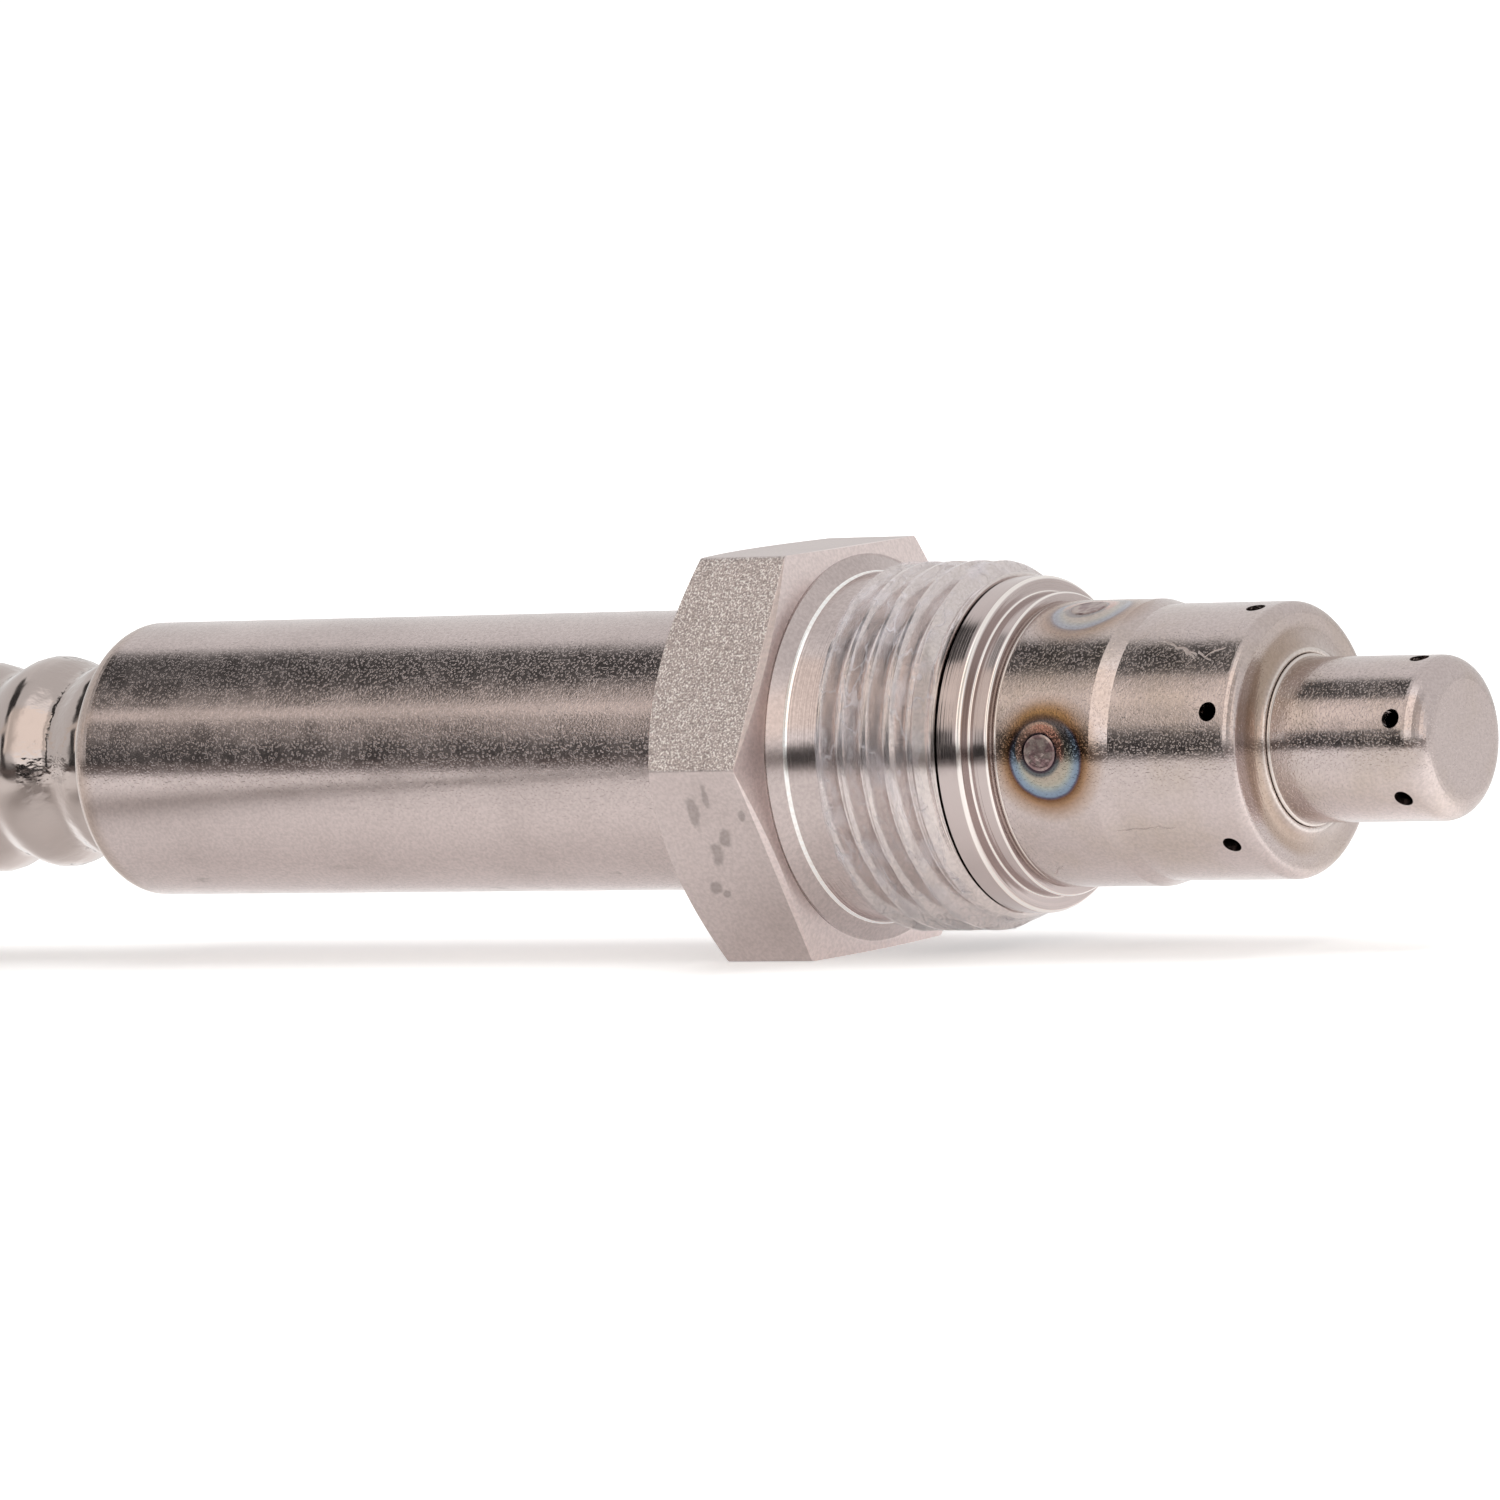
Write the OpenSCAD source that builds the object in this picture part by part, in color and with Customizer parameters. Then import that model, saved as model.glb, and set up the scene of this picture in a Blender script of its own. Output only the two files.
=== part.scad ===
// Exhaust gas nitrogen oxide sensor: threaded probe, metal conduit and control unit.
// The probe's axis is X with the tip at +X, and the origin is the centre of the thread.

/* [Union nut] */
// Width of the hexagon across its flats
nut_af = 22; // [21.4:0.1:24]
// Length of the hexagon along its corners
hex_len = 5.5; // [4.5:0.1:8]
// Outer diameter of the thread
thread_d = 20; // [19.2:0.1:20.6]
// Length of full thread
thread_len = 5.4; // [4:0.1:8]
// Length of the tapered lead in front of the thread
lead_len = 1.4; // [0.8:0.1:2.5]
// Diameter of the nose that pushes on the collar
lead_d = 18.4; // [17.6:0.1:19]
// Diameter of the neck between thread and hexagon
neck_d = 18.6; // [17.4:0.1:19]
// Length of the neck
neck_len = 2.4; // [1.5:0.1:4]
// Radial running clearance of the nut on the body
nut_clearance = 0.1; // [0.04:0.01:0.1]
// Gap between nut and collar when the nut hangs loose
nut_gap = 0.1; // [0.05:0.05:0.5]

/* [Shell] */
// Diameter of the seat collar
collar_d = 18.2; // [17.4:0.1:19]
// Width of the seat collar
collar_w = 1.5; // [1:0.1:3]
// Diameter of the boss in front of the collar
boss_d = 16.4; // [16.1:0.1:17]
// Width of the boss
boss_w = 1.15; // [0.8:0.05:2.5]
// Diameter of the shell and the rear sleeve
body_d = 15.38; // [15:0.02:15.6]
// Diameter of the bore that holds the ceramics
bore_d = 10.6; // [9.6:0.1:11.4]
// Diameter of the passage for the sensing element
passage_d = 7.2; // [6.6:0.1:8]
// Depth of the front recess behind the seat face
recess_depth = 1.5; // [1:0.1:2]

/* [Protection tubes] */
// Outer diameter of the outer tube at its root
tube_d = 15.42; // [15:0.02:15.8]
// Outer diameter of the outer tube in front of its step
tube_step_d = 14.84; // [14:0.02:14.96]
// Wall of the outer tube
tube_wall = 0.5; // [0.3:0.05:0.7]
// Length of the outer tube
tube_len = 14.9; // [13:0.1:20]
// Distance of the step from the root of the outer tube
step_at = 6.15; // [5.5:0.05:7]
// Length of the step
step_len = 1; // [0.4:0.1:1.5]
// Radius of the front edge of the outer tube
tube_round = 0.65; // [0.3:0.05:1]
// Diameter of the wide part of the inner tube
inner_d = 11.2; // [10.8:0.1:11.6]
// Outer diameter of the nose
nose_d = 8.82; // [7.6:0.02:9.2]
// Distance of the nose's end from the face of the outer tube
nose_len = 9.9; // [8:0.1:14]
// Radius of the front edge of the nose
nose_round = 1.3; // [0.6:0.1:1.8]
// Wall of the inner tube
nose_wall = 0.4; // [0.25:0.05:0.6]
// Diameter of the gas holes
gas_hole_d = 1.05; // [0.6:0.05:1.6]
// Number of gas holes in each ring
gas_holes = 6; // [3:1:8]

/* [Rear sleeve] */
// Length of the rear sleeve
sleeve_len = 51; // [48:0.5:60]
// Wall of the rear sleeve
sleeve_wall = 0.6; // [0.4:0.05:0.8]
// Outer radius of the rolled rear edge
sleeve_round = 1.5; // [1:0.1:1.9]

/* [Element and insulators] */
// Width of the sensing element
element_w = 5; // [4.4:0.1:5.4]
// Thickness of the sensing element
element_t = 1.3; // [0.9:0.1:1.6]
// Length of the front ceramic
front_ceramic_len = 6; // [4:0.5:7]
// Length of the pressed talc ring
talc_len = 4.5; // [3:0.5:6]
// Length of the rear ceramic's flange
flange_len = 5; // [3:0.5:6]
// Thickness of the packing ring under the crimp
packing_w = 0.6; // [0.4:0.1:1.5]
// Length of each half of the contact block
block_len = 8.5; // [7:0.5:9]
// Diameter of the contact block
block_d = 13; // [12.6:0.1:13.2]

/* [Leads] */
// Spacing of the contacts and leads
lead_pitch = 1.35; // [1.3:0.05:1.4]
// Diameter of one insulated lead
lead_d_out = 1.15; // [0.8:0.05:1.15]
// Height of the lead rows above and below the axis
lead_rise = 1.8; // [1.6:0.1:2.2]
// Length of the rubber seal plug
plug_len = 13; // [10:0.5:13]

/* [Conduit] */
// Outer diameter of the metal conduit
conduit_d = 12; // [12:0.1:12.1]
// Wall of the metal conduit
conduit_wall = 0.5; // [0.3:0.1:1]

/* [Control unit] */
// Length of the control unit's housing
unit_l = 74; // [70:1:90]
// Width of the control unit's housing
unit_w = 50; // [48:1:60]
// Height of the control unit above its base
unit_h = 24; // [23:0.5:32]
// Wall of the housing
unit_wall = 2.5; // [2:0.25:3]
// Thickness of the base plate
plate_t = 2; // [1.5:0.25:3]
// Thickness of the gasket
gasket_t = 0.8; // [0.5:0.1:1.5]
// Distance of the mounting holes from the housing's sides
ear_offset = 5.5; // [5:0.25:9]
// Distance of the mounting holes from the end with the ports
ear_from_end = 46; // [20:1:50]
// Diameter of the mounting holes
ear_hole_d = 6.5; // [5.5:0.5:7]
// Height of the mounting ears
ear_h = 9; // [6:0.5:12]
// Thickness of the circuit board
board_t = 1.6; // [1:0.2:2]
// Spacing of the connector pins
pin_pitch = 2.6; // [2.2:0.1:2.8]
// Number of connector pins
pins = 5; // [3:1:5]

/* [Hidden] */
$fn = 96;
fit_gap = 0.05;
slot_gap = 0.15;
facets = 10;
over = 1;
main_corners = 32;
small_facets = 24;

// Stations along the axis, from the nut forwards
lead_x = thread_len / 2 + lead_len;
collar_x = lead_x + nut_gap;
seat_x = collar_x + collar_w;
root_x = seat_x + boss_w;
face_x = root_x + tube_len;
nose_x = face_x + nose_len;
thread_relief = 0.3;
step_run = 0.5;
step_face_d = 21.2;
step_drop = 0.4;
hex_chamfer_front = 16;
hex_chamfer_back = 30;
neck_x = -thread_len / 2 - thread_relief - neck_len;
hex_d = nut_af / cos(30);
hex_x = neck_x - step_run - (hex_d - step_face_d) / 2 * tan(hex_chamfer_front);
hex_back_x = hex_x - hex_len;
nut_back_x = hex_back_x - (hex_d - step_face_d) / 2 * tan(hex_chamfer_back);
nut_bore_d = body_d + 2 * nut_clearance;
floor_z = -nut_af / 2;

// Shell
edge_chamfer = 0.3;
spigot_d = tube_d - 2 * tube_wall - 2 * fit_gap;
spigot_len = step_at - 0.2;
spigot_edge = 0.1;
sleeve_x = -4.3;
sleeve_back_x = sleeve_x - sleeve_len;
recess_x = seat_x - recess_depth;
ledge_w = 2.4;
ledge_x = recess_x - ledge_w;
cone_len = 1.53;
ceramic_x = ledge_x - cone_len;
crimp_w = 1;
crimp_d = 8.8;

// Protection tubes
hole_turn = 17.5;
nose_hole_turn = 19;
hole_edge = 0.375;
nose_hole_edge = 0.15;
hole_back = tube_round + gas_hole_d / 2 + hole_edge;
nose_hole_back = nose_round + gas_hole_d / 2 + nose_hole_edge;
fillet_rise = 0.1;
lip_d = nose_d + 2 * (fillet_rise + fit_gap);
lip_w = 0.2;
lip_rise = 0.45;
lip_angle = 40;
face_flat_w = 0.45;
neck_wide_d = nose_d + 2 * fillet_rise;
fillet_len = 1.3;
fillet_x = face_x + lip_rise - fit_gap;
shoulder_x = face_x - tube_wall - fit_gap;
shoulder_edge = 0.6;
inner_hole_d = 1.2;
inner_hole_back = 2.5;
inner_hole_x = root_x + spigot_len + inner_hole_back;

// Ceramics, contacts and leads
talc_x = ceramic_x - front_ceramic_len;
flange_x = talc_x - talc_len;
packing_x = flange_x - flange_len;
shell_back_x = packing_x - packing_w - crimp_w;
crimp_gap = 0.3;
ceramic_neck_d = crimp_d - 2 * crimp_gap;
ceramic_neck_len = 3.5;
ceramic_nose_len = 2;
element_reach = 6;
element_x = root_x + element_reach;
block_gap = 1;
block_x = shell_back_x - ceramic_neck_len - block_gap;
block_back_x = block_x - 2 * block_len;
slot_h = 2 * lead_rise + lead_d_out + 2 * slot_gap;
key_d = 1.6;
spring_w = 5;
leaf_t = 0.25;
leaf_w = 0.8;
leaf_ramp = 2;
leaf_flat = 2;
leaf_end = 1;
leaf_gap = 0.02;
barrel_share = 0.8;
barrel_len = 3;
barrel_inset = 1;
leaf_inset = 1;
element_gap = 0.8;
plug_gap = 0.2;
barrel_x = block_back_x + barrel_inset;
leaf_front_x = block_x - leaf_inset;
element_back_x = barrel_x + barrel_len + element_gap;
plug_x = block_back_x - plug_gap;
plug_back_x = plug_x - plug_len;

// Conduit route: straight out of the sleeve, down to the floor, one and a half turns
// wound over each other, and into the control unit. Points are chosen by hand.
conduit_z = -5;
coil_c = [-107, -60];
coil_r = 60;
layer = 12.5;
coil_first = 90;
coil_last = 630;
coil_step = 15;
unit_x = -71;
gland_y = -132.5;
gland_z = 1;
lay_out = [
    [-52, 0, 0], [-56, 0, 0], [-62, 0, -0.1], [-69, 0, -0.6],
    [-77, 0, -1.8], [-85, 0, -3.2], [-93, 0, -4.3], [-100, 0, -4.9]
];
lay_in = [[-98, -132.5, 0.4], [-90, -132.5, 0.9], [-82, -132.5, 1], [-69, -132.5, 1]];
conduit_x = lay_out[0][0];
hump_start = 365;
hump_end = 430;
hump_rise = 13.8;
hump_settle = 1.3;
settle_span = 30;
roll_start = 470;
roll_end = 620;
rise_start = 590;
rise_span = 60;

// Control unit
port_gap = 0.6;
port_shift = 0.75;
unit_top_z = floor_z + unit_h;
rim_z = floor_z + plate_t + gasket_t;
corner_r = 4;
inner_corner_r = 2.5;
screw_inset = [11, 4.5];
pillar_d = 6;
pillar_gap = 0.5;
screw_depth = 8;
screw_d = 3;
screw_head_d = 5.6;
screw_gap = 0.1;
head_gap = 0.2;
head_sink = 0.1;
screw_cone = (screw_head_d - screw_d) / 2;
post_h = 4;
post_d = 5;
post_inset = [11.5, 11.5];
board_z = floor_z + plate_t + post_h;
board_margin = 1.2;
socket_z = 2;
socket_w = 19;
socket_h = 13;
socket_len = 16;
socket_wall = 1.6;
socket_r = 4;
socket_inner_r = 2.4;
socket_floor = 2;
latch = [6, 6, 1.4];
latch_back = 3;
pin_s = 0.8;
pin_back = 4;
pin_bend = 7;
boss_len = 5;
gland_d = 15.2;
gland_af = 18;
gland_len = 12;
gland_lip = 3;
gland_grip = 4;
gland_x = -boss_len - gland_len + gland_grip;
socket_y = gland_y - gland_af / cos(30) / 2 - port_gap - socket_w / 2;
unit_back_y = (gland_y + socket_y) / 2 + port_shift + unit_w / 2;
unit_c = [unit_x + unit_l / 2, unit_back_y - unit_w / 2];
ear_spacing = unit_w + 2 * ear_offset;
ear_d = 14;
bush_wall = 1.2;
ear_x = unit_x + ear_from_end;
ear_root = 0.5;
ear_notch = 1.3;
ribs = [0.2 : 0.12 : 0.8];
rib_w = 1.6;
rib_h = 0.8;
rib_margin = 6;
// Bodies on the board: corner, length, width and height
chips = [[-6, -7, 14, 14, 1.6], [14, 4, 9, 6, 2.2], [-20, 8, 7, 5, 1.8], [4, 12, 5, 4, 1.2]];
capacitor_at = [14, -12];
capacitor_d = 8;
capacitor_h = 6;

// Points along an arc, from one angle to another
function arc(c, r, from, to) =
    [for (i = [0 : facets]) let (t = from + (to - from) * i / facets) c + r * [cos(t), sin(t)]];

// Smooth rise from 0 to 1
function ease(t) = let (s = min(max(t, 0), 1)) s * s * (3 - 2 * s);

// A turned solid about the X axis from [x, radius] points
module turned(outline) {
    rotate([0, 90, 0]) rotate_extrude() polygon([for (p = outline) [p[1], p[0]]]);
}

// A plain disc or ring along X
module disc(x0, x1, d) {
    translate([x0, 0, 0]) rotate([0, 90, 0]) cylinder(d = d, h = x1 - x0);
}

module ring(x0, x1, d_out, d_in) {
    difference() {
        disc(x0, x1, d_out);
        disc(x0 - over, x1 + over, d_in);
    }
}

// Radial gas holes through one wall
module gas_holes_at(x, d, turn, count, reach) {
    for (k = [0 : count - 1])
        translate([x, 0, 0]) rotate([-turn - 360 / count * k, 0, 0])
            rotate([90, 0, 0]) cylinder(d = d, h = reach, $fn = small_facets);
}

module at_leads() {
    for (side = [-1, 1], k = [-1.5 : 1 : 1.5]) translate([0, k * lead_pitch, side * lead_rise]) children();
}

module plate_outline(l, w, r) {
    hull() for (x = [r, l - r], y = [r, w - r]) translate([x, y]) circle(r, $fn = main_corners);
}

module union_nut() color([0.72, 0.68, 0.66]) difference() {
    union() {
        intersection() {
            turned([
                [nut_back_x, 0], [nut_back_x, step_face_d / 2],
                [hex_back_x, hex_d / 2], [hex_x, hex_d / 2],
                [neck_x - step_run, step_face_d / 2], [neck_x - step_run, 0]
            ]);
            translate([nut_back_x - over, 0, 0]) rotate([0, 90, 0]) rotate([0, 0, 30])
                cylinder(d = hex_d, h = neck_x - nut_back_x + over, $fn = 6);
        }
        turned([
            [nut_back_x + over, 0], [nut_back_x + over, neck_d / 2],
            [neck_x - step_run, step_face_d / 2 - step_drop], [neck_x, neck_d / 2],
            [-thread_len / 2 - thread_relief, neck_d / 2],
            [-thread_len / 2, thread_d / 2], [thread_len / 2, thread_d / 2],
            [lead_x, lead_d / 2], [lead_x, 0]
        ]);
    }
    disc(nut_back_x - over, lead_x + over, nut_bore_d);
}

module shell() color([0.70, 0.67, 0.65]) difference() {
    turned([
        [shell_back_x, 0], [shell_back_x, body_d / 2 - sleeve_wall - fit_gap],
        [sleeve_x, body_d / 2 - sleeve_wall - fit_gap], [sleeve_x, body_d / 2],
        [collar_x, body_d / 2], [collar_x, collar_d / 2],
        [seat_x - edge_chamfer, collar_d / 2], [seat_x, collar_d / 2 - edge_chamfer],
        [seat_x, boss_d / 2], [root_x - spigot_edge, boss_d / 2], [root_x, boss_d / 2 - spigot_edge],
        [root_x, spigot_d / 2], [root_x + spigot_len, spigot_d / 2],
        [root_x + spigot_len, 0]
    ]);
    disc(recess_x, root_x + spigot_len + over, inner_d + 2 * fit_gap);
    disc(ledge_x - over, recess_x + over, passage_d);
    turned([
        [ceramic_x, 0], [ceramic_x, bore_d / 2], [ledge_x, passage_d / 2], [ledge_x, 0]
    ]);
    disc(shell_back_x + crimp_w, ceramic_x, bore_d);
    disc(shell_back_x - over, shell_back_x + crimp_w + over, crimp_d);
}

module outer_tube() color([0.73, 0.69, 0.66]) {
    r1 = tube_d / 2;
    r2 = tube_step_d / 2;
    lip_r = lip_d / 2 + lip_w;
    cove_r = r2 - tube_round - face_flat_w;
    cove_end_r = lip_r + lip_w * sin(lip_angle);
    cove_rise = lip_rise - lip_w + lip_w * cos(lip_angle);
    difference() {
        turned(concat(
            [[root_x, r1 - tube_wall], [root_x, r1 - edge_chamfer], [root_x + edge_chamfer, r1],
                [root_x + step_at, r1], [root_x + step_at + step_len, r2]],
            arc([face_x - tube_round, r2 - tube_round], tube_round, 90, 0),
            [for (i = [0 : facets - 1]) let (s = i / facets)
                [face_x + cove_rise * pow(s, 3), cove_r + (cove_end_r - cove_r) * s]],
            arc([face_x + lip_rise - lip_w, lip_r], lip_w, lip_angle, -90),
            [[face_x - tube_wall, lip_d / 2], [face_x - tube_wall, r2 - tube_round]],
            arc([face_x - tube_round, r2 - tube_round], max(tube_round - tube_wall, 0.05), 0, 90),
            [[root_x + step_at + step_len, r2 - tube_wall], [root_x + step_at, r1 - tube_wall]]
        ));
        gas_holes_at(face_x - hole_back, gas_hole_d, hole_turn, gas_holes, r1 + over);
    }
}

module inner_tube() color([0.74, 0.70, 0.67]) {
    ri = inner_d / 2;
    rn = neck_wide_d / 2;
    r = nose_d / 2;
    w = nose_wall;
    end_c = [nose_x - nose_round, r - nose_round];
    difference() {
        turned(concat(
            [[recess_x, ri - w], [recess_x, ri], [shoulder_x - shoulder_edge, ri], [shoulder_x, ri - shoulder_edge],
                [shoulder_x, rn], [fillet_x, rn]],
            [for (i = [1 : facets]) let (s = i / facets)
                [fillet_x + fillet_len * s, rn + (r - rn) * (1 - (1 - s) * (1 - s))]],
            arc(end_c, nose_round, 90, 0),
            [[nose_x, 0], [nose_x - w, 0]],
            arc(end_c, max(nose_round - w, 0.1), 0, 90),
            [[shoulder_x - w, r - w], [shoulder_x - w, ri - shoulder_edge - w], [shoulder_x - w - shoulder_edge, ri - w]]
        ));
        gas_holes_at(nose_x - nose_hole_back, gas_hole_d, nose_hole_turn, gas_holes, ri + over);
        gas_holes_at(inner_hole_x, inner_hole_d, hole_turn + 180 / gas_holes, gas_holes, ri + over);
    }
}

module sensing_element() color([0.90, 0.89, 0.85])
    translate([element_back_x, -element_w / 2, -element_t / 2])
        cube([element_x - element_back_x, element_w, element_t]);

// Slot that the sensing element passes through
module element_slot(x0, x1, gap) {
    translate([x0, -element_w / 2 - gap, -element_t / 2 - gap])
        cube([x1 - x0, element_w + 2 * gap, element_t + 2 * gap]);
}

module front_ceramic() color([0.93, 0.91, 0.86]) difference() {
    turned([
        [talc_x, 0], [talc_x, bore_d / 2 - fit_gap], [ceramic_x, bore_d / 2 - fit_gap],
        [ledge_x, passage_d / 2 - fit_gap], [ledge_x + ceramic_nose_len, passage_d / 2 - fit_gap],
        [ledge_x + ceramic_nose_len, 0]
    ]);
    element_slot(talc_x - over, ledge_x + ceramic_nose_len + over, fit_gap);
}

module talc_ring() color([0.80, 0.78, 0.72]) difference() {
    disc(flange_x, talc_x, bore_d - 2 * fit_gap);
    element_slot(flange_x - over, talc_x + over, fit_gap);
}

module rear_ceramic() color([0.93, 0.91, 0.86]) difference() {
    union() {
        disc(packing_x, flange_x, bore_d - 2 * fit_gap);
        disc(shell_back_x - ceramic_neck_len, packing_x + over, ceramic_neck_d);
    }
    element_slot(shell_back_x - ceramic_neck_len - over, flange_x + over, fit_gap);
}

module packing_ring() color([0.65, 0.63, 0.60])
    ring(packing_x - packing_w, packing_x, bore_d - 4 * fit_gap, ceramic_neck_d + 4 * fit_gap);

// Opening across the contact block for the element and the spring contacts
module contact_slot(x0, x1) {
    w = 4 * lead_pitch + 2 * slot_gap;
    translate([x0, -w / 2, -slot_h / 2]) cube([x1 - x0, w, slot_h]);
}

module contact_block(x0, x1) {
    difference() {
        disc(x0, x1, block_d);
        contact_slot(x0 - over, x1 + over);
        for (turn = [0, 180]) rotate([turn, 0, 0])
            translate([x0 - over, 0, block_d / 2]) rotate([0, 90, 0])
                cylinder(d = key_d, h = x1 - x0 + 2 * over, $fn = small_facets);
    }
}

module contact_block_front() color([0.92, 0.90, 0.85]) contact_block(block_x - block_len + fit_gap, block_x);

module contact_block_rear() color([0.90, 0.88, 0.83]) contact_block(block_back_x, block_x - block_len);

// One spring contact: bowed leaf on the element, riser and crimp barrel
module terminal_clip() {
    touch = element_t / 2 + leaf_gap - lead_rise;
    x0 = leaf_front_x - leaf_end;
    x1 = x0 - leaf_ramp;
    x2 = x1 - leaf_flat;
    x3 = x2 - leaf_ramp;
    translate([0, leaf_w / 2, 0]) rotate([90, 0, 0]) linear_extrude(leaf_w) polygon([
        [leaf_front_x, 0], [x0, 0], [x1, touch + leaf_t], [x2, touch + leaf_t], [x3, 0],
        [barrel_x + barrel_len, 0], [barrel_x + barrel_len, -leaf_t], [x3, -leaf_t],
        [x2, touch], [x1, touch], [x0, -leaf_t], [leaf_front_x, -leaf_t]
    ]);
    translate([barrel_x, 0, 0]) rotate([0, 90, 0])
        cylinder(d = lead_d_out * barrel_share, h = barrel_len, $fn = small_facets);
}

module terminal_clips() color([0.80, 0.70, 0.42])
    for (turn = [0, 180], k = [-1.5 : 1 : 1.5])
        rotate([turn, 0, 0]) translate([0, k * lead_pitch, lead_rise]) terminal_clip();

module retaining_spring() color([0.62, 0.60, 0.58])
    ring(block_x - block_len - spring_w / 2, block_x - block_len + spring_w / 2,
        body_d - 2 * sleeve_wall - 2 * fit_gap, block_d + 2 * fit_gap);

module lead_wires() color([0.85, 0.85, 0.82])
    at_leads() translate([conduit_x, 0, 0]) rotate([0, 90, 0])
        cylinder(d = lead_d_out, h = barrel_x - conduit_x, $fn = small_facets);

module seal_plug() color([0.16, 0.16, 0.17]) difference() {
    turned([
        [plug_back_x, 0], [plug_back_x, body_d / 2 - sleeve_wall - fit_gap],
        [plug_x, body_d / 2 - sleeve_wall - fit_gap], [plug_x, 0]
    ]);
    at_leads() translate([plug_back_x - over, 0, 0]) rotate([0, 90, 0])
        cylinder(d = lead_d_out + 2 * fit_gap, h = plug_len + 2 * over, $fn = small_facets);
}

module rear_sleeve() color([0.70, 0.66, 0.64]) {
    r = body_d / 2;
    turned(concat(
        [[sleeve_x, r - sleeve_wall], [sleeve_x, r]],
        arc([sleeve_back_x + sleeve_round, r - sleeve_round], sleeve_round, 90, 180),
        arc([sleeve_back_x + sleeve_round, r - sleeve_round], sleeve_round - sleeve_wall, 180, 90)
    ));
}

// The conduit's route, with the coil's turns worked out from its angle
function coil_z(t) =
    t < hump_end ? conduit_z + hump_rise * ease((t - hump_start) / (hump_end - hump_start)) :
    t < roll_start ? conduit_z + hump_rise - hump_settle * ease((t - hump_end) / settle_span) :
    conduit_z + layer * cos(90 * ease((t - roll_start) / (roll_end - roll_start)))
        + (gland_z - conduit_z) * ease((t - rise_start) / rise_span);
function coil_radius(t) = coil_r + layer * sin(90 * ease((t - roll_start) / (roll_end - roll_start)));
function coil_point(t) =
    [coil_c[0] + coil_radius(t) * cos(t), coil_c[1] + coil_radius(t) * sin(t), coil_z(t)];
route = concat(
    lay_out,
    [for (t = [coil_first : coil_step : coil_last]) coil_point(t)],
    lay_in
);

// One tube swept along a route, with a hollow inside
module swept_tube(points, d, wall, sides) {
    n = len(points);
    function along(i) = let (v = points[min(i + 1, n - 1)] - points[max(i - 1, 0)]) v / norm(v);
    function hoop(i, r) =
        let (a = along(i), side = cross(a, [0, 0, 1]), s = side / norm(side), u = cross(s, a))
        [for (k = [0 : sides - 1]) let (t = 360 * k / sides)
            points[i] + r * (cos(t) * s + sin(t) * u)];
    outer = [for (i = [0 : n - 1]) each hoop(i, d / 2)];
    inner = [for (i = [0 : n - 1]) each hoop(i, d / 2 - wall)];
    m = n * sides;
    last = (n - 1) * sides;
    polyhedron(
        points = concat(outer, inner),
        faces = concat(
            [for (i = [0 : n - 2], k = [0 : sides - 1]) let (j = (k + 1) % sides)
                [i * sides + k, i * sides + j, (i + 1) * sides + j, (i + 1) * sides + k]],
            [for (i = [0 : n - 2], k = [0 : sides - 1]) let (j = (k + 1) % sides)
                [m + i * sides + j, m + i * sides + k, m + (i + 1) * sides + k, m + (i + 1) * sides + j]],
            [for (k = [0 : sides - 1]) let (j = (k + 1) % sides) [j, k, m + k, m + j]],
            [for (k = [0 : sides - 1]) let (j = (k + 1) % sides)
                [last + k, last + j, m + last + j, m + last + k]]
        ),
        convexity = 10
    );
}

module conduit() color([0.74, 0.72, 0.70]) swept_tube(route, conduit_d, conduit_wall, 12);

// Control unit pieces
module at_gland() {
    translate([unit_x, gland_y, gland_z]) children();
}

module gland_nut() color([0.60, 0.58, 0.56]) at_gland() difference() {
    translate([gland_x, 0, 0]) rotate([0, 90, 0]) rotate([0, 0, 30])
        cylinder(d = gland_af / cos(30), h = gland_len, $fn = 6);
    disc(gland_x - over, over, conduit_d + 2 * slot_gap);
    disc(gland_x + gland_lip, over, gland_d + 2 * fit_gap);
}

module gland_seal() color([0.13, 0.13, 0.14]) at_gland()
    ring(gland_x + gland_lip, -boss_len, gland_d - 2 * fit_gap, conduit_d + 2 * slot_gap);

module at_corners(inset) {
    for (x = [inset[0], unit_l - inset[0]], y = [inset[1], unit_w - inset[1]])
        translate([unit_x + x, unit_back_y - y, 0]) children();
}

module at_ears() {
    for (side = [-1, 1]) translate([ear_x, unit_c[1] + side * ear_spacing / 2, floor_z]) children();
}

module housing_shape(inset, z0, z1, r) {
    translate([unit_x + inset, unit_back_y - unit_w + inset, z0])
        linear_extrude(z1 - z0) plate_outline(unit_l - 2 * inset, unit_w - 2 * inset, r);
}

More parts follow.
